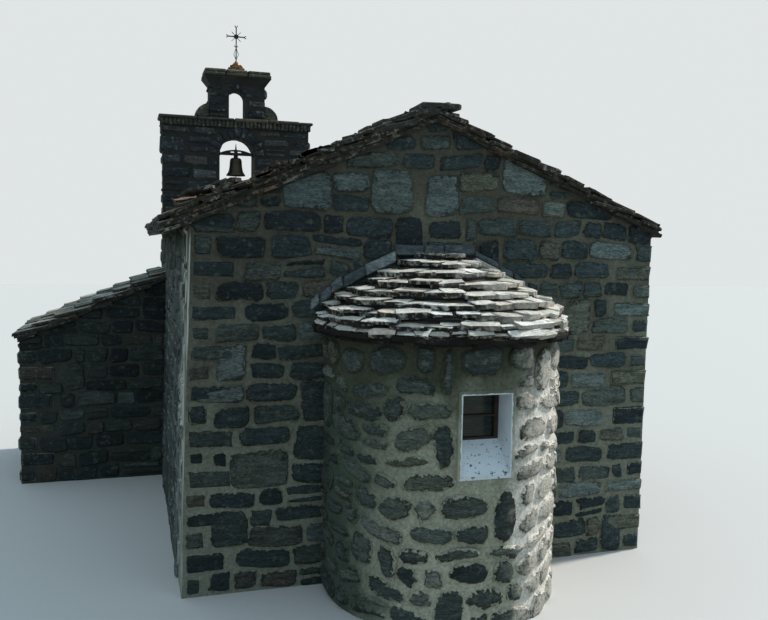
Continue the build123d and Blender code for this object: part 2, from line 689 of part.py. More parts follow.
def volute(side):
    """A quarter-round stone beside the upper tier."""
    x = GABLE_X + side * UPPER_WIDTH / 2
    drum = Pos(x, GABLE_Y, CORNICE_TOP_Z) * Rot(90, 0, 0) * Cylinder(VOLUTE_RADIUS, VOLUTE_DEPTH)
    x0, x1 = sorted((x, x + side * VOLUTE_RADIUS))
    return drum & block(x0, x1, -FAR, FAR, CORNICE_TOP_Z, CORNICE_TOP_Z + VOLUTE_RADIUS)


def volutes():
    return Compound([solid for side in (-1, 1) for solid in volute(side).solids()])


def finial_stone():
    """A blunt pyramid with a socket for the cross's foot."""
    stone = leaning_block((FINIAL_WIDTH, FINIAL_WIDTH), (FINIAL_TIP, FINIAL_TIP), CAP_TOP_Z, FINIAL_TOP_Z)
    socket = block(GABLE_X - CROSS_BAR / 2, GABLE_X + CROSS_BAR / 2, GABLE_Y - CROSS_DEPTH / 2,
                   GABLE_Y + CROSS_DEPTH / 2, FINIAL_TOP_Z - CROSS_SINK, FAR)
    return stone - socket


# Cross

def flat_bar(start, end, width):
    """A straight flat bar between two (x, z) points, drawn in the cross's plane."""
    run = end[0] - start[0]
    rise = end[1] - start[1]
    middle = Pos((start[0] + end[0]) / 2, (start[1] + end[1]) / 2)
    return middle * Rot(0, 0, degrees(atan2(rise, run))) * Rectangle(hypot(run, rise), width)


def fork(x, z, dx, dz):
    """Two short prongs that open outward from the end of an arm."""
    tip_x = x + dx * CROSS_PRONG
    tip_z = z + dz * CROSS_PRONG
    side_x = dz * CROSS_PRONG_SPREAD
    side_z = dx * CROSS_PRONG_SPREAD
    prongs = flat_bar((x, z), (tip_x + side_x, tip_z + side_z), CROSS_PRONG_BAR)
    return prongs + flat_bar((x, z), (tip_x - side_x, tip_z - side_z), CROSS_PRONG_BAR)


def cross_outline():
    reach = CROSS_HALF_SPAN - CROSS_PRONG
    top = CROSS_TOP_Z - CROSS_PRONG
    shape = flat_bar((0, FINIAL_TOP_Z - CROSS_SINK), (0, top), CROSS_BAR)
    shape += flat_bar((-reach, CROSS_ARMS_Z), (reach, CROSS_ARMS_Z), CROSS_BAR)
    shape += fork(0, top - CROSS_PRONG_BAR / 2, 0, 1)
    shape += fork(reach - CROSS_PRONG_BAR / 2, CROSS_ARMS_Z, 1, 0)
    shape += fork(-reach + CROSS_PRONG_BAR / 2, CROSS_ARMS_Z, -1, 0)
    diamond = CROSS_DIAMOND * sqrt(2)
    shape += Pos(0, CROSS_ARMS_Z) * Rot(0, 0, 45) * Rectangle(diamond, diamond)
    leaf_foot = (0, CROSS_COLLAR_Z - CROSS_COLLAR)
    loop_foot = (0, FINIAL_TOP_Z + CROSS_BAR)
    loop_z = (FINIAL_TOP_Z + leaf_foot[1]) / 2
    for x in (-1, 1):
        for z in (-1, 1):
            shape += flat_bar((0, CROSS_ARMS_Z), (x * CROSS_RAY, CROSS_ARMS_Z + z * CROSS_RAY), CROSS_RAY_BAR)
        shape += flat_bar(leaf_foot, (x * CROSS_COLLAR, CROSS_COLLAR_Z), CROSS_PRONG_BAR)
        for end in (loop_foot, leaf_foot):
            shape += flat_bar(end, (x * CROSS_LOOP_HALF, loop_z), CROSS_RAY_BAR)
    return shape


def iron_cross():
    sheet = Plane(origin=(GABLE_X, GABLE_Y + CROSS_DEPTH / 2, 0), x_dir=(1, 0, 0), z_dir=(0, -1, 0))
    return extrude(sheet * cross_outline(), amount=CROSS_DEPTH)


# Bell, in its own frame with the swing axis at the origin along X

def hang(shape):
    return Pos(GABLE_X, GABLE_Y, BELL_AXIS_Z) * shape


def pin_x(radius, x0, x1, z=0.0):
    return Pos((x0 + x1) / 2, 0, z) * Rot(0, 90, 0) * Cylinder(radius, x1 - x0)


def yoke_bearings():
    """Iron blocks on the jambs, each with a bore for the yoke's journal."""
    half = BELL_OPENING_WIDTH / 2
    depth = YOKE_DEPTH / 2 + YOKE_SIDE_GAP
    shapes = []
    for side in (-1, 1):
        x0, x1 = sorted((side * half, side * (half - BEARING_THICK)))
        body = block(x0, x1, -depth, depth, -BEARING_DROP, BEARING_RISE)
        shapes.append(hang(body - pin_x(JOURNAL_RADIUS + JOURNAL_FIT, x0, x1)) - bell_arch())
    return Compound([solid for shape in shapes for solid in shape.solids()])


YOKE_REACH = BELL_OPENING_WIDTH / 2 - BEARING_THICK - YOKE_SIDE_GAP


def yoke_plan():
    """Side view of the yoke: a bar under a low arch, with slots and a spike."""
    left_end = (-YOKE_REACH, YOKE_END_RISE)
    right_end = (YOKE_REACH, YOKE_END_RISE)
    edges = Polyline(right_end, (YOKE_REACH, -YOKE_DROP), (-YOKE_REACH, -YOKE_DROP), left_end)
    plan = make_face(edges + ThreePointArc(left_end, (0, YOKE_RISE), right_end))
    foot = YOKE_SPIKE_WIDTH / 2
    neck = YOKE_SPIKE_NECK / 2
    spike = Polyline((-foot, 0), (foot, 0), (neck, YOKE_RISE), (0, YOKE_SPIKE), (-neck, YOKE_RISE),
                     close=True)
    slot_x = foot + YOKE_SLOT_GAP + YOKE_SLOT_LENGTH / 2
    for side in (-1, 1):
        plan -= Pos(side * slot_x, YOKE_SLOT_RISE) * SlotOverall(YOKE_SLOT_LENGTH, YOKE_SLOT_HEIGHT)
    return plan + make_face(spike)


def bell_yoke():
    sheet = Plane(origin=(0, YOKE_DEPTH / 2, 0), x_dir=(1, 0, 0), z_dir=(0, -1, 0))
    yoke = extrude(sheet * yoke_plan(), amount=YOKE_DEPTH)
    journal = BELL_OPENING_WIDTH / 2 - JOURNAL_END_GAP
    yoke += pin_x(JOURNAL_RADIUS, -journal, -YOKE_REACH) + pin_x(JOURNAL_RADIUS, YOKE_REACH, journal)
    yoke += Pos(0, 0, -(YOKE_DROP + CROWN_GAP) / 2) * Cylinder(CANON_RADIUS, YOKE_DROP + CROWN_GAP)
    ears = Box(CANON_RADIUS * 3, CANON_DEPTH, CROWN_GAP)
    return hang(yoke + Pos(0, 0, -YOKE_DROP - CROWN_GAP / 2) * ears)


BELL_TOP = -YOKE_DROP - CROWN_GAP
BELL_MOUTH = BELL_TOP - BELL_HEIGHT
CLAPPER_Z = BELL_TOP - BELL_SKIN - CLAPPER_PIN_DROP


def turned(points, sides):
    """A many-sided round solid about Z, with flat facets between the rings at its (radius, z) points."""
    turns = [radians(360 * side / sides) for side in range(sides)]
    rings = [[Vector(r * cos(turn), r * sin(turn), z) for turn in turns] for r, z in points]
    outlines = [rings[0], rings[-1]]
    for low, high in zip(rings, rings[1:]):
        for side in range(sides):
            after = (side + 1) % sides
            outlines.append([low[side], low[after], high[after], high[side]])
    return Solid(Shell([Face(Wire.make_polygon(outline)) for outline in outlines]))


def bell_form(profile, radius, height):
    """One of the bell's profiles at a size, turned solid, with its mouth at BELL_MOUTH."""
    return turned([(radius * r, BELL_MOUTH + height * z) for r, z in profile], BELL_SIDES)


def bell():
    """Cast bell, with a pin between two lugs inside its crown for the clapper."""
    shell = bell_form(BELL_PROFILE, BELL_MOUTH_RADIUS, BELL_HEIGHT)
    shell -= bell_form(BELL_HOLLOW, BELL_MOUTH_RADIUS - BELL_LIP, BELL_HEIGHT - BELL_SKIN)
    near = CLAPPER_EYE_WIDTH / 2 + CLAPPER_LUG_GAP
    far = near + CLAPPER_LUG
    for side in (-1, 1):
        x0, x1 = sorted((side * near, side * far))
        shell += block(x0, x1, -CLAPPER_EYE_RADIUS, CLAPPER_EYE_RADIUS, CLAPPER_Z - CLAPPER_EYE_RADIUS,
                       BELL_TOP - BELL_SKIN / 2)
    return hang(shell + pin_x(CLAPPER_PIN_RADIUS, -far, far, CLAPPER_Z))


def clapper():
    """A square rod with an eye at its top, a ball near the bell's lip and a short tail."""
    half = CLAPPER_EYE_WIDTH / 2
    ball_z = BELL_MOUTH + CLAPPER_BALL_RISE
    ball = turned(arc_points(CLAPPER_BALL_RADIUS, ball_z, -BALL_END, BALL_END, BALL_RINGS), BALL_SIDES)
    tail_z = ball_z - CLAPPER_TAIL
    rod = Pos(0, 0, (CLAPPER_Z + tail_z) / 2) * Box(CLAPPER_ROD, CLAPPER_ROD, CLAPPER_Z - tail_z)
    body = pin_x(CLAPPER_EYE_RADIUS, -half, half, CLAPPER_Z) + rod + ball
    return hang(body - pin_x(CLAPPER_PIN_RADIUS + JOURNAL_FIT, -half, half, CLAPPER_Z))


PARTS = {
    "rear_wall_left": rear_wall_piece(-FAR, -APSE_INNER),
    "rear_wall_right": rear_wall_piece(APSE_INNER, FAR),
    "rear_gable": rear_gable(),
    "left_side_wall": left_side_wall(),
    "right_side_wall": right_side_wall(),
    "front_wall_left": front_wall_piece(-FAR, -DOOR_WIDTH / 2),
    "front_wall_right": front_wall_piece(DOOR_WIDTH / 2, FAR),
    "front_gable": front_gable(),
    "door_threshold": door_threshold(),
    "door_frame": door_frame(),
    "front_door": front_door(),
    "floor_fill": floor_fill(),
    "nave_floor": nave_floor(),
    "apse_wall_left": apse_wall_left(),
    "apse_wall_right": apse_wall_right(),
    "apse_wall_below_window": apse_wall_below_window() + window_bed(),
    "window_surround": window_surround(),
    "window_frame": window_frame(),
    "window_pane": window_pane(),
    "apse_vault": apse_vault(),
    "apse_eave_course": apse_eave_course(),
    "apse_roof_slabs": apse_roof_slabs(),
    "apse_weathering": apse_weathering(),
    "roof_slabs_left": roof_slabs_left(),
    "roof_slabs_right": roof_slabs_right(),
    "ridge_slabs": ridge_slabs(),
    "roof_beams": roof_beams(),
    "roof_boards_left": roof_boards(LEFT_INNER_X, 0),
    "roof_boards_right": roof_boards(0, RIGHT_INNER_X),
    "annex_rear_wall": annex_rear_wall(),
    "annex_side_wall": annex_side_wall(),
    "annex_front_wall": annex_front_wall(),
    "annex_door": annex_door(),
    "annex_floor": annex_floor(),
    "annex_slabs": annex_slabs(),
    "bell_piers": bell_piers(),
    "bell_sill_wall": bell_sill_wall(),
    "bell_arch": bell_arch(),
    "lower_cornice": lower_cornice(),
    "upper_pillars": upper_pillars(),
    "upper_arch": upper_arch(),
    "cap_slab": cap_slab(),
    "volutes": volutes(),
    "finial_stone": finial_stone(),
    "iron_cross": iron_cross(),
    "yoke_bearings": yoke_bearings(),
    "bell_yoke": bell_yoke(),
    "bell": bell(),
    "clapper": clapper(),
}

os.makedirs("parts", exist_ok=True)
for name, shape in PARTS.items():
    export_step(shape, f"parts/{name}.step")
print(len(PARTS), "parts written")
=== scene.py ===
from itertools import product
from math import atan, cos, pi, radians, sin, sqrt

import bmesh
import bpy
import numpy as np
from mathutils import Matrix, Vector, noise as terrain


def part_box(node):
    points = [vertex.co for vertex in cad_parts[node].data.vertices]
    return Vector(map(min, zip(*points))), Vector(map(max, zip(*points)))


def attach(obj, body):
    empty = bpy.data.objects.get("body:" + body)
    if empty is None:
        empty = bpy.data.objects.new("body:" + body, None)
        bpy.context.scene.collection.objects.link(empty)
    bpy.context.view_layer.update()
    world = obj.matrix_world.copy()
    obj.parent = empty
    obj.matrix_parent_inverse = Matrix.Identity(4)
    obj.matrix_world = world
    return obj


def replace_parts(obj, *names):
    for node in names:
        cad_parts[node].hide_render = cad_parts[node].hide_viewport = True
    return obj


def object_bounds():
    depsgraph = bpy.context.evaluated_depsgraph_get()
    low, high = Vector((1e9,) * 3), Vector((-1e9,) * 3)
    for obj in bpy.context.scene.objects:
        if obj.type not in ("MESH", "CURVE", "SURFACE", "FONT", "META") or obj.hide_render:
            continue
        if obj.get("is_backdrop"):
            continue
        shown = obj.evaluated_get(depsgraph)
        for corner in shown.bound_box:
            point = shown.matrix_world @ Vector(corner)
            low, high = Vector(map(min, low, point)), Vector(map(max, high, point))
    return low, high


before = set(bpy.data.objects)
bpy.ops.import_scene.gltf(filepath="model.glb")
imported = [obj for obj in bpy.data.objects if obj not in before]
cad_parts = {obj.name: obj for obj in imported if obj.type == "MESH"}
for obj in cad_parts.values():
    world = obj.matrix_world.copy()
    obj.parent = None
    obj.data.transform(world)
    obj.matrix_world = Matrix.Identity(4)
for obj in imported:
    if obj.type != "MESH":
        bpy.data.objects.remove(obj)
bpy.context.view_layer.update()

# %% [markdown]
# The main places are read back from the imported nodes, so that walls, roofs and arches are each named once.
# Only lengths that no box shows, such as the slope of the roof, are worked out here.
# %% Places read from the nodes
PIER_LOW, PIER_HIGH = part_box("bell_piers")
REAR_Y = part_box("rear_gable")[0].y
FRONT_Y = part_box("front_gable")[1].y
LEFT_X, EAVE_Z = PIER_LOW.x, PIER_LOW.z
RIGHT_X, APEX_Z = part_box("rear_gable")[1].x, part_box("rear_gable")[1].z
LEFT_FOOT_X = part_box("rear_wall_left")[0].x
LEFT_PITCH = (APEX_Z - EAVE_Z) / -LEFT_X
RIGHT_PITCH = (APEX_Z - EAVE_Z) / RIGHT_X
APSE_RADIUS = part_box("apse_wall_right")[1].x
APSE_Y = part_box("window_surround")[0].y + APSE_RADIUS
APSE_LOW, APSE_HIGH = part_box("apse_eave_course")
APSE_ROOF_Z, APSE_EDGE = APSE_HIGH.z, APSE_HIGH.x
APSE_TOP_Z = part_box("apse_roof_slabs")[1].z


def roof_z(x):
    """Underside of the nave's slabs at x."""
    return APEX_Z + np.minimum(x * LEFT_PITCH, -x * RIGHT_PITCH)


def left_face_x(z):
    """Outer face of the leaning left wall at height z."""
    return LEFT_X + (LEFT_FOOT_X - LEFT_X) * np.maximum(0.0, 1 - z / EAVE_Z)


print("nave", round(FRONT_Y - REAR_Y, 2), "m long, apex", round(APEX_Z, 2),
      "m up, apse radius", round(APSE_RADIUS, 3))

# %% [markdown]
# The camera stands where the photographer stood: fitted to corners of the real chapel, it looks slightly
# down and to the right, and leans by one degree. Its lens follows from the focal length in pixels.
# %% Camera
CAMERA_PLACE = Vector((-3.361, -12.409, 3.885))
CAMERA_TURN, CAMERA_DIP, CAMERA_LEAN = radians(17.56), radians(4.69), radians(1.04)
FOCAL_PIXELS, PHOTO_WIDTH, SENSOR = 810.0, 768, 36.0


def add_object(name, data):
    thing = bpy.data.objects.new(name, data)
    bpy.context.collection.objects.link(thing)
    return thing


ahead = Vector((sin(CAMERA_TURN) * cos(CAMERA_DIP), cos(CAMERA_TURN) * cos(CAMERA_DIP), -sin(CAMERA_DIP)))
level = Vector((cos(CAMERA_TURN), -sin(CAMERA_TURN), 0))
down = ahead.cross(level)
right = level * cos(CAMERA_LEAN) - down * sin(CAMERA_LEAN)
below = level * sin(CAMERA_LEAN) + down * cos(CAMERA_LEAN)
camera = add_object("camera", bpy.data.cameras.new("camera"))
camera.data.sensor_width = SENSOR
camera.data.lens = FOCAL_PIXELS * SENSOR / PHOTO_WIDTH
camera.matrix_world = Matrix.Translation(CAMERA_PLACE) @ Matrix((right, -below, -ahead)).transposed().to_4x4()
bpy.context.scene.camera = camera
bpy.context.scene.view_settings.view_transform = "Standard"
print("lens", round(camera.data.lens, 2), "mm")

# %% [markdown]
# Finishes are node trees. A pen draws the nodes of one tree and keeps the formulas readable. Patterns read
# Object coordinates, which are metres on this model, so that a grain of 5 mm stays 5 mm on every piece.
# %% A pen that draws nodes


def rgba(colour):
    return (*colour, 1) if isinstance(colour, tuple) else colour


class Pen:
    """Draws in one node tree. A feed is a number, a colour, a data block or another node's output."""

    def __init__(self, tree):
        self.tree = tree

    def feed(self, node, feeds):
        for key, value in feeds.items():
            if isinstance(value, bpy.types.NodeSocket):
                self.tree.links.new(value, node.inputs[key])
            else:
                node.inputs[key].default_value = value

    def put(self, kind, feeds=None, **settings):
        node = self.tree.nodes.new(kind)
        for key, value in settings.items():
            setattr(node, key, value)
        self.feed(node, feeds or {})
        return node

    def mix(self, factor, first, second):
        feeds = {0: factor, 6: rgba(first), 7: rgba(second)}
        return self.put("ShaderNodeMix", feeds, data_type="RGBA").outputs[2]

    def maths(self, operation, first, second=0.0, clamp=False):
        feeds = {0: first, 1: second}
        return self.put("ShaderNodeMath", feeds, operation=operation, use_clamp=clamp).outputs[0]

    def add(self, first, *others):
        for other in others:
            first = self.maths("ADD", first, other)
        return first

    def times(self, first, *others):
        for other in others:
            first = self.maths("MULTIPLY", first, other)
        return first

    def ramp(self, value, stops):
        """Colours along a value, from (place, colour) stops in rising order."""
        node = self.put("ShaderNodeValToRGB", {"Fac": value})
        band = node.color_ramp.elements
        band.remove(band[1])
        band[0].position = stops[0][0]
        band[0].color = rgba(stops[0][1])
        for place, colour in stops[1:]:
            band.new(place).color = rgba(colour)
        return node.outputs["Color"]

    def spread(self, value, low, high, to_low=0.0, to_high=1.0):
        feeds = {"Value": value, "From Min": low, "From Max": high, "To Min": to_low, "To Max": to_high}
        return self.put("ShaderNodeMapRange", feeds).outputs["Result"]

    def grain(self, scale, stretch=(1, 1, 1), detail=4.0, rough=0.6):
        """Noise in metres: scale is roughly the number of spots in a metre."""
        place = self.put("ShaderNodeTexCoord").outputs["Object"]
        place = self.put("ShaderNodeMapping", {"Vector": place, "Scale": stretch}).outputs["Vector"]
        feeds = {"Vector": place, "Scale": scale, "Detail": detail, "Roughness": rough}
        return self.put("ShaderNodeTexNoise", feeds).outputs["Fac"]

    def swing(self, scale, low, high, stretch=(1, 1, 1), detail=4.0, rough=0.6):
        """Noise that runs between low and high."""
        return self.spread(self.grain(scale, stretch, detail, rough), 0.3, 0.7, low, high)

    def place(self):
        place = self.put("ShaderNodeTexCoord").outputs["Object"]
        return self.put("ShaderNodeSeparateXYZ", {0: place}).outputs

    def painted(self, attribute):
        """A number that was stored on the mesh."""
        return self.put("ShaderNodeAttribute", attribute_name=attribute).outputs["Fac"]

    def shade(self, colour, value):
        feeds = {"Color": rgba(colour), "Value": value}
        return self.put("ShaderNodeHueSaturation", feeds).outputs["Color"]

    def relief(self, height, strength, distance):
        feeds = {"Height": height, "Strength": strength, "Distance": distance}
        return self.put("ShaderNodeBump", feeds).outputs["Normal"]


def finish_from(name, draw):
    """A material whose shader takes what draw(pen) returns: a feed for each input by its name."""
    finish = bpy.data.materials.new(name)
    finish.use_nodes = True
    pen = Pen(finish.node_tree)
    pen.feed(finish.node_tree.nodes["Principled BSDF"], draw(pen))
    return finish


# %% [markdown]
# Mortar is a sandy lime mortar whose colour is a formula of the place. On the apse it carries painted light
# and
# shade: nearly white where the sun falls on its right side, dark at its left edge and under its eave. Old
# limewash is left in one spot only, as a stripe down the leaning wall.
# %% Colours of mortar and lime
LIMEWASH = (0.60, 0.61, 0.55)


def gable_mortar_colour(pen):
    """Khaki below, darker and browner towards the roof, paler to the right, with cloudy patches."""
    place = pen.place()
    up = pen.add(place[2], pen.times(place[0], -0.2), pen.swing(1.1, -1.3, 1.3, detail=6.0))
    return pen.mix(pen.spread(up, 1.2, 4.2), (0.205, 0.215, 0.165), (0.07, 0.067, 0.05))


def slab_rim_shade_colour(pen):
    """Edges of the apse roof's slabs, with painted shade: near-black on the left, where they lie in shade,
    clean stone to the right.
    """
    across = pen.add(pen.place()[0], pen.swing(3.0, -0.3, 0.3))
    return pen.mix(pen.spread(across, -0.15, 0.6), (0.02, 0.018, 0.016), (0.52, 0.48, 0.42))


def corner_lime(pen):
    """Where old limewash is left: a pale stripe down the leaning wall, next to its rear corner."""
    place = pen.place()
    lean = pen.times(place[2], (LEFT_X - LEFT_FOOT_X) / EAVE_Z)
    inside = pen.maths("SUBTRACT", pen.maths("SUBTRACT", place[0], lean), LEFT_FOOT_X)
    on_face = pen.spread(inside, 0.012, 0.006)
    at_corner = pen.spread(pen.add(place[1], pen.swing(4.0, -0.25, 0.25)), REAR_Y + 1.1, REAR_Y + 0.5)
    upper = pen.spread(pen.add(place[2], pen.swing(2.0, -0.6, 0.6)), 0.2, 1.6, 0.3, 0.9)
    streaks = pen.spread(pen.grain(7.0, (1, 1, 0.12), 7.0, 0.65), 0.46, 0.58)
    return pen.times(on_face, at_corner, upper, streaks)


def lime_streak_colour(pen):
    """The leaning left wall is dark like the gable, with faint pale runs down it and moss under the eave."""
    streaks = pen.spread(pen.grain(3.0, (1, 1, 0.22), 7.0, 0.65), 0.42, 0.62)
    lime = pen.mix(streaks, (0.05, 0.065, 0.06), (0.20, 0.235, 0.225))
    moss = pen.add(pen.place()[2], pen.swing(2.5, -0.4, 0.4))
    return pen.mix(pen.spread(moss, 3.3, 3.9), lime, (0.05, 0.065, 0.03))


def apse_mortar_colour(pen):
    """Khaki, darker upwards, with painted light and shade: nearly white as painted sunlight on its right
    side, near-black green as painted shade at its left edge and dark olive as painted shade under the eave."""
    place = pen.place()
    wander = pen.swing(1.8, -1.0, 1.0, detail=7.0, rough=0.65)
    khaki = pen.mix(pen.spread(pen.add(place[2], wander), 0.2, 2.6), (0.42, 0.42, 0.33), (0.21, 0.225, 0.165))
    left = pen.add(place[0], pen.times(wander, 0.22))
    # Painted shade: near-black green at the apse's left edge.
    khaki = pen.mix(pen.spread(left, -0.75, -1.2), khaki, (0.06, 0.085, 0.06))
    # Painted sunlight: nearly white on the apse's right side, where the sun falls.
    painted_sunlight = pen.add(place[0], pen.times(wander, 0.2))
    pale = pen.mix(pen.spread(painted_sunlight, 0.32, 0.55), khaki, (0.78, 0.73, 0.66))
    # Painted shade: dark olive under the eave.
    eave_shade = pen.maths("SUBTRACT", pen.add(place[2], pen.times(wander, 0.3)), pen.times(place[0], 0.2))
    return pen.mix(pen.spread(eave_shade, 2.15, 2.75), pale, (0.045, 0.052, 0.031))


# %% [markdown]
# The chapel's stone is a dark mountain slate. No two stones match: most are blue-black or teal, some
# green-grey, a few rusty, pale blue-green or nearly white. Each stone carries a random number called tint,
# and one ramp turns that number into its colour, so a single finish serves a whole wall. Mortar was smeared
# over the stones' edges by hand: a second number, rim, is 1 at a stone's outline and 0 at its middle, and
# noise breaks its edge.
# %% Stone finish
KIND_STOPS = (0.0, 0.25, 0.52, 0.66, 0.76, 0.86, 0.97, 1.0)


def by_kind(*colours):
    """Colours from the darkest stone by way of dark, green, rusty, brown, pale and light to the lightest."""
    return tuple(zip(KIND_STOPS, colours))


def stone_finish(name, colours, mortar_and_edge_shade, smear, lichen, streak=0.45, ragged=0.5, crevice_shade=0.0, patchy=0.45,
                 limed=False, paler_right=None, painted_sunlight=None):
    """The mortar colour is a colour, or a function of the pen that gives one; on slabs it colours their edges
    and is partly painted shade there. The crevice amount paints shade into the line beside a stone.
    """
    def draw(pen):
        value = pen.times(pen.swing(5.0, 1 - streak, 1 + streak, (1, 1, 5)),
                          pen.swing(24.0, 1 - patchy, 1 + patchy, (1, 1, 3.5), 6.0, 0.7))
        if paler_right:
            value = pen.times(value, pen.spread(pen.place()[0], *paler_right))
        base = pen.shade(pen.ramp(pen.painted("tint"), colours), value)
        # Painted sunlight: on the apse's right side the stones turn pale with dark pits, where the sun falls
        # on them.
        if painted_sunlight:
            sunny = pen.add(pen.place()[0], pen.swing(5.0, -0.2, 0.2, detail=6.0))
            pits = pen.spread(pen.grain(24.0, detail=7.0, rough=0.75), 0.53, 0.61)
            pitted = pen.mix(pits, (0.70, 0.645, 0.565), (0.17, 0.165, 0.145))
            base = pen.mix(pen.spread(sunny, *painted_sunlight, 0.0, 0.85), base, pitted)
        spots = pen.spread(pen.grain(13.0, detail=7.0), 0.56, 0.66, 0.0, lichen)
        base = pen.mix(spots, base, (0.27, 0.29, 0.21))
        edge = pen.add(pen.painted("rim"), pen.swing(16.0, -ragged, ragged, detail=6.0, rough=0.65))
        # Painted shade: a near-black line in the crevice between stone and mortar, broken up by noise.
        gap = pen.spread(edge, 0.62 - smear, 0.95 - smear, 0.0, crevice_shade)
        gap = pen.times(gap, pen.spread(pen.grain(2.3, detail=5.0), 0.38, 0.55))
        base = pen.mix(gap, base, (0.008, 0.009, 0.008))
        # On slabs the cover lies on their edges, and the colour there is partly black lichen and partly
        # painted shade.
        cover = pen.spread(edge, 0.97 - smear, 1.12 - smear)
        sand = pen.swing(30.0, 0.55, 1.5, detail=8.0, rough=0.75)
        base = pen.mix(cover, base, pen.shade(mortar_and_edge_shade(pen) if callable(mortar_and_edge_shade) else mortar_and_edge_shade, sand))
        if limed:
            base = pen.mix(corner_lime(pen), base, LIMEWASH)
        height = pen.add(pen.grain(16.0, (1, 1, 3), 8.0, 0.7), pen.times(pen.grain(110.0), 0.3))
        return {"Base Color": base, "Roughness": 0.88, "Specular IOR Level": 0.3,
                "Normal": pen.relief(height, 0.9, 0.03)}
    return finish_from(name, draw)


SLATE_COLOURS = by_kind(
    (0.013, 0.021, 0.026), (0.031, 0.047, 0.05), (0.062, 0.08, 0.07), (0.072, 0.066, 0.053),
    (0.091, 0.102, 0.078), (0.089, 0.117, 0.116), (0.129, 0.157, 0.15), (0.177, 0.198, 0.184))
APSE_COLOURS = by_kind(
    (0.025, 0.037, 0.036), (0.06, 0.078, 0.071), (0.095, 0.116, 0.097), (0.099, 0.099, 0.077),
    (0.132, 0.143, 0.113), (0.154, 0.173, 0.154), (0.193, 0.208, 0.178), (0.261, 0.269, 0.231))
SLAB_COLOURS = by_kind(
    (0.07, 0.085, 0.09), (0.12, 0.135, 0.13), (0.17, 0.18, 0.15), (0.20, 0.165, 0.125),
    (0.235, 0.205, 0.165), (0.26, 0.28, 0.26), (0.36, 0.37, 0.33), (0.45, 0.45, 0.40))
APSE_SLAB_COLOURS = by_kind(
    (0.48, 0.44, 0.38), (0.70, 0.66, 0.58), (0.64, 0.62, 0.56), (0.64, 0.54, 0.46),
    (0.74, 0.68, 0.60), (0.76, 0.74, 0.69), (0.82, 0.79, 0.74), (0.84, 0.81, 0.76))
# Painted shade: the side room's stone is the gable's slate darkened to 0.7, for the shade it stands in.
ANNEX_SHADED_COLOURS = tuple((place, tuple(0.7 * c for c in colour)) for place, colour in SLATE_COLOURS)
# Painted shadow: near-black colours for the thin slabs that stand for the shade under the apse roof's rims
# and eave.
SHADOW_COLOURS = ((0.0, (0.006, 0.006, 0.005)), (0.75, (0.014, 0.013, 0.011)), (1.0, (0.07, 0.06, 0.05)))
BELL_COLOURS = ((0.0, (0.017, 0.024, 0.032)), (0.35, (0.032, 0.041, 0.050)), (0.6, (0.052, 0.061, 0.068)),
                (0.78, (0.062, 0.055, 0.043)), (1.0, (0.10, 0.118, 0.132)))
WEATHER_COLOURS = ((0.0, (0.028, 0.038, 0.046)), (0.5, (0.10, 0.125, 0.14)), (1.0, (0.25, 0.28, 0.29)))
CAP_COLOURS = ((0.0, (0.04, 0.045, 0.04)), (0.5, (0.085, 0.08, 0.06)), (1.0, (0.14, 0.12, 0.085)))
LICHEN_COLOURS = ((0.0, (0.20, 0.085, 0.03)), (0.5, (0.27, 0.13, 0.045)), (1.0, (0.13, 0.09, 0.055)))
VERGE_COLOURS = ((0.0, (0.04, 0.045, 0.04)), (0.35, (0.10, 0.09, 0.07)), (0.55, (0.21, 0.125, 0.075)),
                 (0.75, (0.15, 0.145, 0.12)), (1.0, (0.34, 0.31, 0.27)))
wall_stone = stone_finish("gable_slate", SLATE_COLOURS, gable_mortar_colour, 0.2, 0.22, crevice_shade=0.95,
                          patchy=0.85, paler_right=(-2.2, 2.6, 0.85, 1.6))
apse_stone = stone_finish("apse_rubble", APSE_COLOURS, apse_mortar_colour, 0.22, 0.3, crevice_shade=0.9, patchy=0.8,
                          painted_sunlight=(0.32, 0.62))
lime_stone = stone_finish("limed_slate", SLATE_COLOURS, lime_streak_colour, 0.35, 0.3, crevice_shade=0.6,
                          limed=True)
# Painted shade: the side room's stones and their dark mortar are a shaded copy of the gable's.
annex_shaded_stone = stone_finish("annex_slate", ANNEX_SHADED_COLOURS, (0.04, 0.045, 0.038), 0.15, 0.2, crevice_shade=0.9)
bell_stone = stone_finish("bell_gable_slate", BELL_COLOURS, (0.018, 0.020, 0.021), 0.08, 0.5, crevice_shade=0.5,
                          ragged=0.6, patchy=0.9)
# The roof's and verge's slabs take a near-black edge colour: partly black lichen, partly painted shade under
# each slab.
roof_stone = stone_finish("roof_slabs", SLAB_COLOURS, (0.04, 0.04, 0.033), 0.15, 0.5, ragged=0.22)
verge_stone = stone_finish("verge_slabs", VERGE_COLOURS, (0.03, 0.028, 0.022), 0.15, 0.5, ragged=0.35,
                           patchy=0.7)
apse_slab_stone = stone_finish("apse_roof_slabs", APSE_SLAB_COLOURS, slab_rim_shade_colour, 0.12, 0.1, 0.25,
                               ragged=0.2, crevice_shade=0.35, patchy=0.35)
shadow_stone = stone_finish("apse_roof_backs", SHADOW_COLOURS, (0.01, 0.01, 0.009), 0.1, 0.1, ragged=0.3)
weather_stone = stone_finish("weathering_slabs", WEATHER_COLOURS, (0.04, 0.045, 0.042), 0.05, 0.35,
                             ragged=0.4, patchy=0.7)
cap_stone = stone_finish("bell_cap_stone", CAP_COLOURS, (0.05, 0.05, 0.04), 0.0, 0.6, ragged=0.3)
lichen_stone = stone_finish("finial_lichen", LICHEN_COLOURS, (0.05, 0.04, 0.03), 0.1, 0.2, ragged=0.4)
print("stone finishes", len(bpy.data.materials))

# %% [markdown]
# Behind the stones lies the wall's own mortar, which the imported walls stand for, with coarse sand that
# shows as bump. Floors and the beds under the slabs are plaster too: one colour that weathers to a darker
# one in patches.
# %% Mortar, lime and plaster


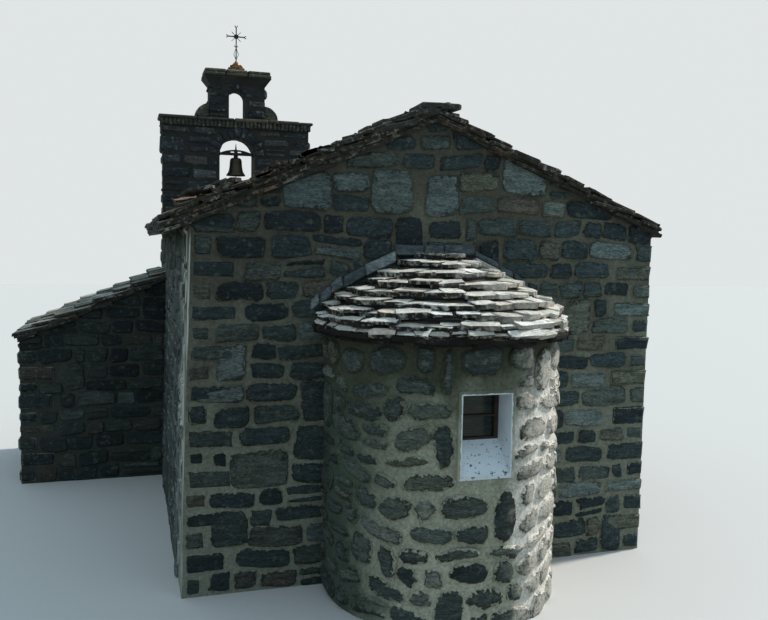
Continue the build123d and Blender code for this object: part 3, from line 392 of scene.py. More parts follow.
def plaster_finish(name, colour, dark=None, contrast=0.2, limed=False):
    """colour is a colour, or a function of the pen that gives one and needs no dark one."""
    def draw(pen):
        if callable(colour):
            base = colour(pen)
        else:
            patches = pen.spread(pen.grain(3.5, detail=8.0), 0.5 - contrast, 0.5 + contrast)
            base = pen.mix(patches, dark, colour)
        base = pen.shade(base, pen.swing(30.0, 0.5, 1.5, detail=8.0, rough=0.75))
        if limed:
            base = pen.mix(corner_lime(pen), base, LIMEWASH)
        height = pen.add(pen.grain(18.0, detail=6.0), pen.times(pen.grain(160.0), 0.4))
        return {"Base Color": base, "Roughness": 0.95, "Normal": pen.relief(height, 1.0, 0.012)}
    return finish_from(name, draw)


gable_mortar = plaster_finish("gable_mortar", gable_mortar_colour, limed=True)
apse_mortar = plaster_finish("apse_mortar", apse_mortar_colour)
limed_wall = plaster_finish("limed_mortar", lime_streak_colour, limed=True)
bell_mortar = plaster_finish("bell_gable_mortar", (0.03, 0.03, 0.026), (0.012, 0.012, 0.011))
# Painted shade: the side room's mortar is darker than the gable's, for the shade it stands in.
annex_mortar = plaster_finish("annex_mortar", (0.055, 0.06, 0.05), (0.03, 0.035, 0.03))
floor_flags = plaster_finish("floor_flags", (0.17, 0.17, 0.15), (0.07, 0.075, 0.07))
lime_line = plaster_finish("lime_line", (0.70, 0.67, 0.60), (0.30, 0.28, 0.24), 0.3)
roof_bed = plaster_finish("roof_bed", (0.07, 0.065, 0.05), (0.03, 0.03, 0.025))

# %% [markdown]
# The window's surround was plastered smooth and painted white. On the steep sill the paint has come off in
# dark specks, thicker towards its lower edge, and rough mortar laps over the outer edge of the lip. Wood is
# long noise along its grain, wrought iron is nearly black and pitted, the bell's bronze has gone brown and
# green, and fine level lines run across the dark pane.
# %% Window render, timber, metal and glass


def window_render(pen):
    place = pen.place()
    base = pen.mix(pen.swing(3.5, 0.0, 1.0, detail=8.0), (0.60, 0.66, 0.70), (0.74, 0.79, 0.83))
    flaking = pen.add(pen.grain(26.0, detail=3.0), pen.times(pen.spread(place[2], 2.02, 1.68), 0.07))
    specks = pen.times(pen.spread(flaking, 0.665, 0.69), pen.spread(place[2], 2.05, 1.95))
    base = pen.mix(specks, base, (0.09, 0.11, 0.12))
    wander = pen.swing(14.0, -0.008, 0.008, detail=5.0)
    sideways = pen.add(pen.maths("ABSOLUTE", place[0]), wander)
    lapped = pen.maths("MAXIMUM", pen.spread(sideways, 0.274, 0.28),
                       pen.spread(pen.add(place[2], wander), 2.428, 2.434))
    return {"Base Color": pen.mix(lapped, base, apse_mortar_colour(pen)), "Roughness": 0.8,
            "Normal": pen.relief(pen.add(pen.grain(30.0), lapped), 0.4, 0.008)}


def timber_finish(name, colour, dark, along, weathered=0.0):
    """along is the letter of the axis that the grain follows."""
    def draw(pen):
        fibres = pen.grain(1.6, tuple(1.5 if axis == along else 28.0 for axis in "xyz"), 6.0)
        base = pen.ramp(fibres, ((0.25, dark), (0.55, colour), (0.8, tuple(1.35 * c for c in colour))))
        grey = pen.spread(pen.grain(3.0, detail=6.0), 0.35, 0.7, 0.0, weathered)
        base = pen.mix(grey, base, (0.17, 0.16, 0.145))
        base = pen.shade(base, pen.spread(pen.painted("tint"), 0.0, 1.0, 1.0, 0.62))
        return {"Base Color": base, "Roughness": 0.75, "Normal": pen.relief(fibres, 0.5, 0.004)}
    return finish_from(name, draw)


def metal_finish(name, colour, bloom, amount, metallic, roughness):
    """A metal with a bloom of rust or verdigris over part of it."""
    def draw(pen):
        spots = pen.spread(pen.grain(22.0, detail=8.0), 0.62 - amount, 0.72 - amount)
        return {"Base Color": pen.mix(spots, colour, bloom),
                "Metallic": pen.spread(spots, 0.0, 1.0, metallic, metallic * 0.3),
                "Roughness": pen.spread(spots, 0.0, 1.0, roughness, 0.85),
                "Normal": pen.relief(pen.grain(120.0), 0.4, 0.002)}
    return finish_from(name, draw)


def old_pane(pen):
    """Fine level lines across the dark pane."""
    level_lines = pen.maths("PINGPONG", pen.add(pen.place()[2], pen.swing(5.0, -0.003, 0.003)), 0.009)
    faded = pen.spread(pen.grain(6.0, (1, 1, 3)), 0.4, 0.65, 0.1, 1.0)
    lines = pen.times(pen.spread(level_lines, 0.004, 0.009), faded)
    return {"Base Color": pen.mix(lines, (0.006, 0.010, 0.010), (0.055, 0.085, 0.055)), "Roughness": 0.12,
            "Specular IOR Level": 0.5, "Normal": pen.relief(pen.grain(6.0), 0.15, 0.01)}


white_render = finish_from("white_render", window_render)
roof_timber = timber_finish("roof_timber", (0.17, 0.11, 0.065), (0.07, 0.045, 0.028), "y")
door_wood = timber_finish("door_wood", (0.15, 0.10, 0.065), (0.06, 0.04, 0.027), "z", 0.7)
sash_wood = timber_finish("sash_wood", (0.035, 0.02, 0.013), (0.012, 0.008, 0.006), "x")
iron = metal_finish("wrought_iron", (0.022, 0.022, 0.024), (0.07, 0.035, 0.02), 0.0, 0.7, 0.55)
bronze = metal_finish("bell_bronze", (0.05, 0.042, 0.032), (0.045, 0.065, 0.055), 0.1, 0.8, 0.5)
old_glass = finish_from("old_pane", old_pane)

# %% [markdown]
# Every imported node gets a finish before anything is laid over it. The table goes from the beginning of a
# node's name to its finish, and the first line that fits is taken.
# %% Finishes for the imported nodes
NODE_FINISHES = (("apse", apse_mortar), ("window_surround", white_render), ("window_frame", sash_wood),
                 ("window_pane", old_glass), ("roof_b", roof_timber), ("door_frame", door_wood),
                 ("door_threshold", floor_flags), ("nave_floor", floor_flags), ("floor_fill", floor_flags),
                 ("annex_floor", floor_flags), ("yoke_bearings", iron), ("bell_yoke", iron),
                 ("clapper", iron), ("bell", bell_mortar), ("upper_", bell_mortar), ("annex", annex_mortar),
                 ("left_side", limed_wall), ("", gable_mortar))
for name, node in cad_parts.items():
    node.data.materials.clear()
    node.data.materials.append(next(finish for start, finish in NODE_FINISHES if name.startswith(start)))
print(len(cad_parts), "packed nodes have a finish")

# %% [markdown]
# New pieces are plain meshes at the origin, with their place in their points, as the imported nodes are. One
# helper makes such a piece, stores the numbers that its finish reads, and lets it ride with a body of the
# chapel. A stone is a stack of rings with a flat foot and a middle point on top, so one list of faces
# serves stones, slabs and nails.
# %% Making a piece


def store(mesh, attribute, kind, values):
    """A number or a vector for each point of a mesh."""
    layer = mesh.attributes.new(attribute, kind, "POINT")
    field = "vector" if kind == "FLOAT_VECTOR" else "value"
    layer.data.foreach_set(field, np.asarray(values, dtype=np.float32).ravel())


def make_piece(name, mesh, body="masonry"):
    piece = add_object(name, mesh)
    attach(piece, body)
    print(name, len(mesh.polygons), "faces")
    return piece


def mesh_piece(name, points, faces, finish, numbers=None, body="masonry"):
    mesh = bpy.data.meshes.new(name)
    mesh.from_pydata([tuple(point) for point in points], [], faces)
    for attribute, values in (numbers or {}).items():
        store(mesh, attribute, "FLOAT", values)
    mesh.materials.append(finish)
    mesh.update()
    return make_piece(name, mesh, body)


class Heap:
    """Points, faces and numbers of many stones that become one piece."""

    def __init__(self):
        self.points, self.faces, self.tint, self.rim = [], [], [], []

    def add(self, points, faces, tint, rim):
        first = len(self.points)
        self.points.extend((x, y, max(z, 0.002)) for x, y, z in points)
        self.faces.extend(tuple(first + corner for corner in face) for face in faces)
        self.tint.extend([tint] * len(points))
        self.rim.extend(rim)

    def piece(self, name, finish, slot, body="masonry"):
        numbers = {"tint": self.tint, "rim": self.rim}
        return mesh_piece(name, self.points, self.faces, finish, numbers, body)


def stack_faces(rings, sides):
    """Faces of a stack of rings that ends in one middle point, its foot last."""
    faces = []
    for ring, side in product(range(rings - 1), range(sides)):
        here, there = ring * sides + side, ring * sides + (side + 1) % sides
        faces.append((here, there, there + sides, here + sides))
    top = (rings - 1) * sides
    faces += [(top + side, top + (side + 1) % sides, top + sides) for side in range(sides)]
    return faces + [tuple(reversed(range(sides)))]


def rounded_square(sides, power):
    """x and y of points round a square from -1 to 1. A small power leaves its corners sharp."""
    turn = (np.arange(sides) + 0.5) * 2 * pi / sides
    return [np.sign(wave) * np.abs(wave) ** power for wave in (np.cos(turn), np.sin(turn))]


# %% [markdown]
# A mason lays rubble in rough courses: stones of one course share a height, the upright joints never stand
# over each other, and now and then a tall stone reaches through two courses. The same rules lay a wall
# here. Each course is a stretch to fill, less the openings and the tall stones that reach up into it, and
# every cut is tried a few times until it keeps clear of the joints below.
# %% The mason's rules
JOINT_KEEP, SHORTEST, TRIES = 0.07, 0.13, 6


def course_lines(rng, top, low, high):
    lines = [0.0]
    while lines[-1] < top:
        lines.append(lines[-1] + rng.uniform(low, high))
    return lines


def what_is_left(start, end, taken):
    """The stretches between start and end that nothing has taken."""
    free = [(start, end)]
    for low, high in taken:
        halves = [half for a, b in free for half in ((a, min(b, low)), (max(a, high), b))]
        free = [(a, b) for a, b in halves if b - a > SHORTEST]
    return free


def cuts_along(rng, start, end, lengths, joints):
    """Where a stretch is cut into stones, clear of the joints of the course below."""
    cuts = [start]
    while end - cuts[-1] > lengths[1]:
        for attempt in range(TRIES):
            cut = min(cuts[-1] + rng.uniform(*lengths), end - lengths[0] * 0.7)
            if all(abs(cut - joint) > JOINT_KEEP for joint in joints):
                break
        cuts.append(cut)
    return cuts + [end]


def pick_tint(rng):
    kinds = (rng.uniform(0, 0.34), rng.uniform(0.3, 0.56), rng.uniform(0.56, 0.78), rng.uniform(0.8, 0.98))
    return kinds[rng.choice(4, p=(0.60, 0.25, 0.08, 0.07))]


def on_courses(lines, chosen):
    """Chosen stones (u0, u1, v0, v1, tint) moved to whole courses, as (u0, u1, first, last, tint)."""
    def nearest(v):
        return min(range(len(lines)), key=lambda number: abs(lines[number] - v))
    return [(u0, u1, nearest(v0), max(nearest(v1), nearest(v0) + 1), tint) for u0, u1, v0, v1, tint in chosen]


def lay_courses(rng, lines, edges, openings, lengths, chosen=(), tall=0.1, thin=0.12):
    """Stones (u0, u1, v0, v1, tint) of a wall. edges and openings give the stretches of a course, tall and
    thin the share of stones that reach through two courses or are two flat ones on top of each other."""
    fixed = on_courses(lines, chosen)
    stones = [(u0, u1, lines[first], lines[last], tint) for u0, u1, first, last, tint in fixed]
    joints, raised = [], []
    for number, (v0, v1) in enumerate(zip(lines, lines[1:])):
        here, ahead_taken = ([(u0, u1) for u0, u1, first, last, tint in fixed if first <= course < last]
                             for course in (number, number + 1))
        taken = raised + openings(v0, v1) + here
        raised, new_joints = [], []
        for a, b in what_is_left(*edges(v0, v1), taken):
            cuts = cuts_along(rng, a, b, lengths, joints)
            new_joints += cuts
            for u0, u1 in zip(cuts, cuts[1:]):
                top = v1
                clear = all(u1 < low or u0 > high for low, high in ahead_taken)
                if clear and rng.random() < tall and number + 2 < len(lines) and u1 - u0 < lengths[1] * 0.8:
                    top = lines[number + 2]
                    raised.append((u0, u1))
                split = v0 + (top - v0) * rng.uniform(0.38, 0.62)
                if rng.random() < thin and top - v0 > 0.15:
                    stones.append((u0, u1, v0, split, pick_tint(rng)))
                    stones.append((u0, u1, split, top, pick_tint(rng)))
                else:
                    stones.append((u0, u1, v0, top, pick_tint(rng)))
        joints = new_joints
    return stones


# %% [markdown]
# A face stone is a low pillow: its outline is a rounded block whose corners a mason's hammer left uneven,
# its sides run back into the mortar, and its face swells a little. A superellipse gives the outline,
# because one exponent turns it from the gable's squared blocks into the apse's round field stones. The
# place function carries it from the flat plan to a straight wall or round the apse.
# %% Face stones
STONE_SIDES, SUNK = 14, 0.03
STONE_FACES = stack_faces(4, STONE_SIDES)
STONE_RIM = [1.0] * (2 * STONE_SIDES) + [0.55] * STONE_SIDES + [0.0] * STONE_SIDES + [0.0]
BLOCKWORK = {"joint": 0.028, "proud": 0.022, "square": 5.0, "round": 0.018, "uneven": 0.026, "wave": 0.02}
RUBBLE = {"joint": 0.042, "proud": 0.032, "square": 2.5, "round": 0.034, "uneven": 0.038, "wave": 0.04}


def add_face_stone(heap, rng, stone, look, place, ceiling=None):
    """look holds joint, proud, square, round, uneven and wave: the joint's width, how far the face stands
    out, the outline's exponent, the width of the rounded edge, how far corners and courses wander."""
    u0, u1, v0, v1, tint = stone
    joint = look["joint"] * rng.uniform(0.6, 1.5)
    halves = np.array((max((u1 - u0 - joint) / 2, 0.02), max((v1 - v0 - joint) / 2, 0.02)))
    x, y = rounded_square(STONE_SIDES, 2 / (look["square"] * rng.uniform(0.85, 1.2)))
    corners = rng.uniform(-1, 1, (2, 2, 2)) * look["uneven"]
    across, up = (1 - (x + 1) / 2, (x + 1) / 2), (1 - (y + 1) / 2, (y + 1) / 2)
    shift = sum(corners[i, j] * (across[i] * up[j])[:, None] for i, j in ((0, 0), (1, 0), (0, 1), (1, 1)))
    outline = np.stack((x, y), 1) * halves + shift + rng.normal(0, look["uneven"] * 0.25, (STONE_SIDES, 2))
    edge = look["round"] * rng.uniform(0.7, 1.3)
    proud = look["proud"] * rng.uniform(0.6, 1.4)
    inset = outline * (1 - edge / halves).clip(0.3)
    lean = rng.uniform(-0.3, 0.3, 2) * proud
    points = []
    rings = ((outline, -SUNK), (outline, proud * 0.25), (inset, proud), (inset * 0.55, proud * 1.15),
             (np.zeros((1, 2)), proud * 1.2))
    for ring, depth in rings:
        out = depth + (ring / halves) @ lean * (depth > 0)
        u, v = (ring + np.array(((u0 + u1) / 2, (v0 + v1) / 2))).T
        v = v + look["wave"] * (np.sin(1.9 * u + 1.3 * v) + 0.6 * np.sin(5.3 * u + 2.1 * v + 1.0))
        if ceiling is not None:
            v = np.minimum(v, ceiling(u))
        points.extend(place(u, np.maximum(v, 0.002), out))
    heap.add(points, STONE_FACES, tint, STONE_RIM)


# %% [markdown]
# Corners, jambs and arches are whole blocks with two or three faces to the air. A block here is a small
# lattice of points inside eight corners: its edges are drawn in a little, so that they look dressed by
# hand, and its corners wander. The eight corners may lean or fan out, which makes the same block a quoin, a
# voussoir or a cornice stone.
# %% Whole blocks
LATTICE = [key for key in product(range(4), repeat=3) if 0 in key or 3 in key]


def block_faces():
    faces = []
    for axis, end, a, b in product(range(3), (0, 3), range(3), range(3)):
        face = []
        for step_a, step_b in ((0, 0), (1, 0), (1, 1), (0, 1)):
            key = [end] * 3
            key[(axis + 1) % 3] = a + step_a
            key[(axis + 2) % 3] = b + step_b
            face.append(LATTICE.index(tuple(key)))
        faces.append(tuple(face if end else reversed(face)))
    return faces


BLOCK_FACES = block_faces()
BLOCK_ENDS = [sum(index in (0, 3) for index in key) for key in LATTICE]
BLOCK_RIM = [1.0 if ends > 1 else 0.15 for ends in BLOCK_ENDS]


def grid(place):
    """Eight corners by x, y and z. place gives the corner (i, j, up), each 0 or 1."""
    return np.array([[[place(i, j, up) for up in (0, 1)] for j in (0, 1)] for i in (0, 1)], dtype=float)


def add_block(heap, rng, corners, tint, inset=0.03, wander=0.008):
    corners = corners + rng.uniform(-wander, wander, (2, 2, 2, 3))
    spans = [corners[end] - corners[0, 0, 0] for end in ((1, 0, 0), (0, 1, 0), (0, 0, 1))]
    steps = np.array([min(inset / max(np.linalg.norm(span), 1e-6), 0.3) for span in spans])
    shares = [(0.0, step, 1 - step, 1.0) for step in steps]
    points = []
    for key, ends in zip(LATTICE, BLOCK_ENDS):
        share = np.array([shares[axis][index] for axis, index in enumerate(key)])
        if ends > 1:
            pull = steps * 0.4
            share = np.where(share == 0.0, pull, np.where(share == 1.0, 1 - pull, share))
        (x, y, z) = share + rng.uniform(-0.012, 0.012, 3) * (ends > 1)
        near = corners[0] * (1 - x) + corners[1] * x
        near = near[0] * (1 - y) + near[1] * y
        points.append(near[0] * (1 - z) + near[1] * z)
    turned_over = np.dot(np.cross(spans[0], spans[1]), spans[2]) < 0
    faces = [tuple(reversed(face)) for face in BLOCK_FACES] if turned_over else BLOCK_FACES
    heap.add(points, faces, tint, BLOCK_RIM)


def add_box(heap, rng, low, high, *looks):
    """A block between two opposite corners. looks are the tint, the inset and the wander."""
    ends = (low, high)
    add_block(heap, rng, grid(lambda i, j, up: (ends[i][0], ends[j][1], ends[up][2])), *looks)


# %% [markdown]
# Quoins tie two walls at a corner. Their long leg lies along one wall in one course and along the other in
# the next, and the mason's courses stop where a quoin begins. The nave's walls all share one set of course
# lines.
# %% Quoins
LONG_LEG, SHORT_LEG, QUOIN_PROUD, UNDER_LIME = 0.56, 0.27, 0.036, -0.02
nave_rng = np.random.default_rng(7)
nave_lines = course_lines(nave_rng, APEX_Z, 0.19, 0.27)


def quoin_leg(v, first_long=True):
    """How far the quoin of the course at height v reaches along a wall."""
    number = int(np.searchsorted(nave_lines, v + 0.01))
    return LONG_LEG if (number % 2 == 0) == first_long else SHORT_LEG


def lay_quoins(heap, rng, corner_x, corner_y, side_x, side_y, top, plastered=False):
    """corner_x is a function of height. side_x and side_y point out of the chapel. The side of a plastered
    corner is limed over, so its blocks end under the lime."""
    for v0, v1 in zip(nave_lines, nave_lines[1:]):
        v1 = min(v1, top)
        if v1 - v0 < 0.08:
            continue
        long_x, long_y = quoin_leg(v0), quoin_leg(v0, False)
        heights = v0 + rng.uniform(0.008, 0.016), v1 - rng.uniform(0.008, 0.016)
        leg_x, leg_y = long_x * rng.uniform(0.82, 0.96), long_y * rng.uniform(0.82, 0.96)
        out_x, out_y = rng.uniform(0.012, QUOIN_PROUD, 2)
        out_x = UNDER_LIME if plastered else out_x
        ys = sorted((corner_y + side_y * out_y, corner_y - side_y * leg_y))
        xs = [sorted((corner_x(v) + side_x * out_x, corner_x(v) - side_x * leg_x)) for v in heights]
        corners = grid(lambda i, j, up: (xs[up][i], ys[j], heights[up]))
        add_block(heap, rng, corners, pick_tint(rng), 0.05, 0.014)


# %% [markdown]
# The rear gable is the wall that the photograph looks at. Its left edge leans with the wall beside it, its
# top follows the roof, and the apse covers its middle. Nine stones that stand out in the photograph, pale or
# rusty ones, are set at their measured place and the mason's rules lay the rest around them.
# %% Stones of the rear gable
NAVE_LENGTHS = (0.26, 0.66)
CHOSEN = (
    (-2.48, -2.11, 2.44, 2.76, 0.97), (-2.72, -2.16, 2.13, 2.32, 0.93), (-2.34, -1.64, 1.30, 1.60, 0.79),
    (0.82, 1.46, 4.42, 4.86, 0.9), (-1.76, -1.22, 4.24, 4.71, 0.86), (-0.78, -0.25, 4.11, 4.69, 0.84),
    (-0.13, 0.29, 4.24, 4.61, 0.87), (-2.29, -2.01, 4.12, 4.43, 0.4), (1.90, 2.31, 2.55, 2.80, 0.68))
ROOF_BELLY, ROOF_CLEARANCE, BEHIND_APSE = 1.35, 0.015, 0.06


def sample_height(v0, v1):
    """Where a course's width is measured: a third up, so that its upper corners tuck under the roof."""
    return v0 + 0.35 * (v1 - v0)


def gable_edges(v0, v1):
    """Both ends of a gable's course, at the corners or under the roof."""
    v = sample_height(v0, v1)
    reach = max(APEX_Z - v, 0.0)
    leg = quoin_leg(v0) if v1 < EAVE_Z else 0.0
    return max(left_face_x(v) + leg, -reach / LEFT_PITCH), min(RIGHT_X - leg, reach / RIGHT_PITCH)


def behind_apse(v0, v1):
    """What the apse and its roof hide of a course."""
    share = (v1 - APSE_ROOF_Z) / (APSE_TOP_Z - APSE_ROOF_Z)
    half = APSE_RADIUS if v1 < APSE_ROOF_Z else APSE_EDGE * (1 - min(share, 1) ** ROOF_BELLY)
    half = half - BEHIND_APSE
    return [(-half, half)] if half > 0.1 else []


def under_roof(u):
    return roof_z(u) - ROOF_CLEARANCE


def lay_stones(name, rng, stones, look, place, finish, slot, ceiling=None):
    heap = Heap()
    for stone in stones:
        add_face_stone(heap, rng, stone, look, place, ceiling)
    heap.piece(name, finish, slot)


gable_stones = lay_courses(nave_rng, nave_lines, gable_edges, behind_apse, NAVE_LENGTHS, CHOSEN)
lay_stones("rear_gable_stones", nave_rng, gable_stones, BLOCKWORK,
           lambda u, v, out: np.stack((u, REAR_Y - out, v), 1), wall_stone, "wall_stone", under_roof)

# %% [markdown]
# The apse is built of rounder field stones with broad cream joints. They are laid along its outer face,
# from the left stub by way of the half circle to the right stub, and each point is then bent onto the
# curve.
# %% Stones of the apse
STUB, BOW = REAR_Y - APSE_Y, pi * APSE_RADIUS
APSE_RUN = 2 * STUB + BOW
WINDOW_LOW, WINDOW_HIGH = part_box("window_surround")


def apse_place(u, v, out):
    turn = (u - STUB).clip(0, BOW) / APSE_RADIUS
    straight = np.where(u < STUB, STUB - u, np.where(u > STUB + BOW, u - STUB - BOW, 0.0))
    radius = APSE_RADIUS + out
    return np.stack((-radius * np.cos(turn), APSE_Y + straight - radius * np.sin(turn), v), 1)


def apse_window(v0, v1):
    half = WINDOW_HIGH.x + 0.02
    clear = v1 < WINDOW_LOW.z - 0.03 or v0 > WINDOW_HIGH.z
    return [] if clear else [(APSE_RUN / 2 - half, APSE_RUN / 2 + half)]


apse_rng = np.random.default_rng(21)
apse_lines = course_lines(apse_rng, APSE_LOW.z - 0.13, 0.16, 0.29)
apse_lines[-1] = APSE_LOW.z
apse_stones = lay_courses(apse_rng, apse_lines, lambda v0, v1: (0.0, APSE_RUN), apse_window, (0.22, 0.56),
                          tall=0.12, thin=0.06)
lay_stones("apse_stones", apse_rng, apse_stones, RUBBLE, apse_place, apse_stone, "apse_stone")

# %% [markdown]
# The other walls are laid with the same rules. Each has its own place function, whose run goes to the right
# for someone who stands in front of it, so that the stones' faces point outwards. Doorways have jambs of
# long and short blocks, as at the corners, and a lintel that rests on them.
# %% Stones of the other walls
ANNEX_X, ANNEX_REAR_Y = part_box("annex_rear_wall")[0].xy
ANNEX_TOP_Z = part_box("annex_rear_wall")[1].z
SIDE_WALL_LOW, SIDE_WALL_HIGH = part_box("annex_side_wall")
ANNEX_PITCH = (ANNEX_TOP_Z - SIDE_WALL_HIGH.z) / (LEFT_X - SIDE_WALL_HIGH.x)
ANNEX_SIDE_Z = SIDE_WALL_LOW.z + ANNEX_TOP_Z - ANNEX_PITCH * (LEFT_X - ANNEX_X)
LEAN_LOW, LEAN_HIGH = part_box("annex_slabs")
GABLE_RIGHT_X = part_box("bell_arch")[1].x
DOORS = (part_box("door_frame"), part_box("annex_door"))
LINTEL_REST, LINTEL_TALL, JAMB_BACK, JAMB_SHARE = 0.17, 0.15, 0.16, 0.62


def lintel_top(high):
    """The first line of the courses that leaves a lintel enough height."""
    return next(line for line in nave_lines if line > high.z + LINTEL_TALL)


def jamb_leg(v):
    return JAMB_SHARE * quoin_leg(v)


def doorway(low, high):
    """Room in a front wall for a door, its jambs and its lintel. The wall's run is -x."""
    def openings(v0, v1):
        if v1 < low.z + 0.05 or v0 > lintel_top(high) - 0.03:
            return []
        rest = jamb_leg(v0) if v0 < high.z - 0.05 else LINTEL_REST
        return [(-high.x - rest, -low.x + rest)]
    return openings


def lay_doorway(heap, rng, low, high):
    for v0, v1 in zip(nave_lines, nave_lines[1:]):
        z0, z1 = max(v0, low.z) + 0.01, min(v1, high.z) - 0.01
        if z1 - z0 < 0.04:
            continue
        for x, side in ((low.x, -1), (high.x, 1)):
            reach = jamb_leg(v0) * rng.uniform(0.88, 0.97)
            x0, x1 = sorted((x + side * 0.004, x + side * reach))
            front = FRONT_Y + rng.uniform(0.01, 0.03)
            add_box(heap, rng, (x0, FRONT_Y - JAMB_BACK, z0), (x1, front, z1), pick_tint(rng), 0.045, 0.01)
    rest = LINTEL_REST - 0.02
    add_box(heap, rng, (low.x - rest, FRONT_Y - JAMB_BACK, high.z + 0.006),
            (high.x + rest, FRONT_Y + 0.038, lintel_top(high) - 0.012), 0.3, 0.05, 0.012)


def annex_roof(x):
    return ANNEX_TOP_Z + (x - LEFT_X) * ANNEX_PITCH


def lay_wall(name, seed, edges, openings, place, ceiling=None, top=EAVE_Z, finish=wall_stone):
    rng = np.random.default_rng(seed)
    lines = [line for line in nave_lines if line < top - 0.06] + [top]
    stones = lay_courses(rng, lines, edges, openings, NAVE_LENGTHS)
    lay_stones(name, rng, stones, BLOCKWORK, place, finish, "wall_stone", ceiling)


def no_openings(v0, v1):
    return []


def behind_side_room(v0, v1):
    return [(-FRONT_Y - 0.1, -ANNEX_REAR_Y)] if v0 < LEAN_HIGH.z - 0.1 else []


def front_place(u, v, out):
    return np.stack((-u, FRONT_Y + out, v), 1)


def annex_edges(v0, v1, sign):
    """The side room's cross walls: from its outer corner to the nave, lower on the outer side."""
    v = sample_height(v0, v1)
    leg = quoin_leg(v0) if v1 < ANNEX_SIDE_Z else 0.0
    outer = max(ANNEX_X + leg, LEFT_X - (ANNEX_TOP_Z - v) / ANNEX_PITCH)
    return tuple(sorted((sign * outer, sign * left_face_x(v))))


def between_quoins(y0, y1, quoin_at_low=True):
    """The stretch of a side wall between its corners, as a function of the course."""
    def edges(v0, v1):
        leg = quoin_leg(v0, False)
        return y0 + leg * quoin_at_low, y1 - leg
    return edges


def front_edges(v0, v1):
    v = sample_height(v0, v1)
    return -gable_edges(v0, v1)[1], -left_face_x(v) if v < EAVE_Z else -GABLE_RIGHT_X


lay_wall("left_wall_stones", 31, between_quoins(-FRONT_Y, -REAR_Y, False), behind_side_room,
         lambda u, v, out: np.stack((left_face_x(v) - out, -u, v), 1), finish=lime_stone)
lay_wall("right_wall_stones", 32, between_quoins(REAR_Y, FRONT_Y), no_openings,
         lambda u, v, out: np.stack((RIGHT_X + out, u, v), 1))
lay_wall("front_stones", 33, front_edges, doorway(*DOORS[0]), front_place, lambda u: under_roof(-u), APEX_Z)
lay_wall("annex_rear_stones", 34, lambda v0, v1: annex_edges(v0, v1, 1), no_openings,
         lambda u, v, out: np.stack((u, ANNEX_REAR_Y - out, v), 1), lambda u: annex_roof(u) - ROOF_CLEARANCE,
         ANNEX_TOP_Z, annex_shaded_stone)
lay_wall("annex_side_stones", 35, between_quoins(-FRONT_Y, -ANNEX_REAR_Y), no_openings,
         lambda u, v, out: np.stack((ANNEX_X - out, -u, v), 1), None, ANNEX_SIDE_Z, annex_shaded_stone)
lay_wall("annex_front_stones", 36, lambda v0, v1: annex_edges(v0, v1, -1), doorway(*DOORS[1]), front_place,
         lambda u: annex_roof(-u) - ROOF_CLEARANCE, ANNEX_TOP_Z, annex_shaded_stone)
heap = Heap()
quoin_rng = np.random.default_rng(41)
lay_quoins(heap, quoin_rng, left_face_x, REAR_Y, -1, -1, EAVE_Z, True)
for x, y, side_x, side_y, top in ((RIGHT_X, REAR_Y, 1, -1, EAVE_Z), (RIGHT_X, FRONT_Y, 1, 1, EAVE_Z),
                                  (ANNEX_X, ANNEX_REAR_Y, -1, -1, ANNEX_SIDE_Z),
                                  (ANNEX_X, FRONT_Y, -1, 1, ANNEX_SIDE_Z)):
    lay_quoins(heap, quoin_rng, lambda z: x, y, side_x, side_y, top)
for door in DOORS:
    lay_doorway(heap, quoin_rng, *door)
heap.piece("quoins", wall_stone, "wall_stone")

# %% [markdown]
# The bell gable is only half a metre thick, so its stones go right through and show on both faces. They are
# laid in courses like the walls, around two arched openings whose heads are rings of wedge-shaped
# voussoirs.
# %% Bell gable
BELL_X, MIDDLE_Y = (PIER_LOW.x + PIER_HIGH.x) / 2, (PIER_LOW.y + PIER_HIGH.y) / 2
SILL_LOW, SILL_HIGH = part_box("bell_sill_wall")
CORNICE_LOW, CORNICE_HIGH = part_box("lower_cornice")
PILLAR_LOW, PILLAR_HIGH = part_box("upper_pillars")
CAP_LOW, CAP_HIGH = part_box("cap_slab")
UPPER_HALF, THROUGH_PROUD, THROUGH_JOINT, FLARE_TALL = 0.16, 0.014, 0.03, 0.16
PIER_ROW, HEAD_ROW, EDGE = 0.245, 0.2, 0.01


def through_stone(heap, rng, u0, u1, v0, v1, tint, free_ends):
    """free_ends says for each end whether it is one of the gable's own edges, where stones stand out."""
    gap = THROUGH_JOINT * rng.uniform(0.6, 1.4) / 2
    proud = rng.uniform(0.3, 2.0, 2) * THROUGH_PROUD
    ends = [rng.uniform(0.0, 0.05) if free else -gap for free in free_ends]
    add_box(heap, rng, (u0 - ends[0], PIER_LOW.y - proud[0], v0 + gap),
            (u1 + ends[1], PIER_HIGH.y + proud[1], v1 - gap), tint, 0.055, 0.018)


def arch_ring(heap, rng, spring_z, radius, depth, count):
    """Voussoirs over an opening. The middle one, the key, stands a little higher."""
    for number in range(count):
        turns = [pi * (number + share) / count for share in (0.95, 0.05)]
        proud = rng.uniform(0.5, 1.4) * THROUGH_PROUD
        reaches = radius, radius + depth * (1.12 if number == count // 2 else rng.uniform(0.88, 1.05))
        ys = PIER_LOW.y - proud, PIER_HIGH.y + proud
        corners = grid(lambda i, j, up: (BELL_X + reaches[up] * cos(turns[i]), ys[j],
                                         spring_z + reaches[up] * sin(turns[i])))
        add_block(heap, rng, corners, pick_tint(rng), 0.02, 0.005)


def arched_opening(half, sill_z, spring_z, ring):
    def openings(v0, v1):
        width, rise = half, v0 - spring_z
        if v1 <= sill_z + 0.02 or rise > half + ring:
            return []
        if rise >= -0.02:
            width = sqrt(max((half + ring) ** 2 - rise ** 2, 0.0)) - 0.03
        return [(BELL_X - width, BELL_X + width)]
    return openings


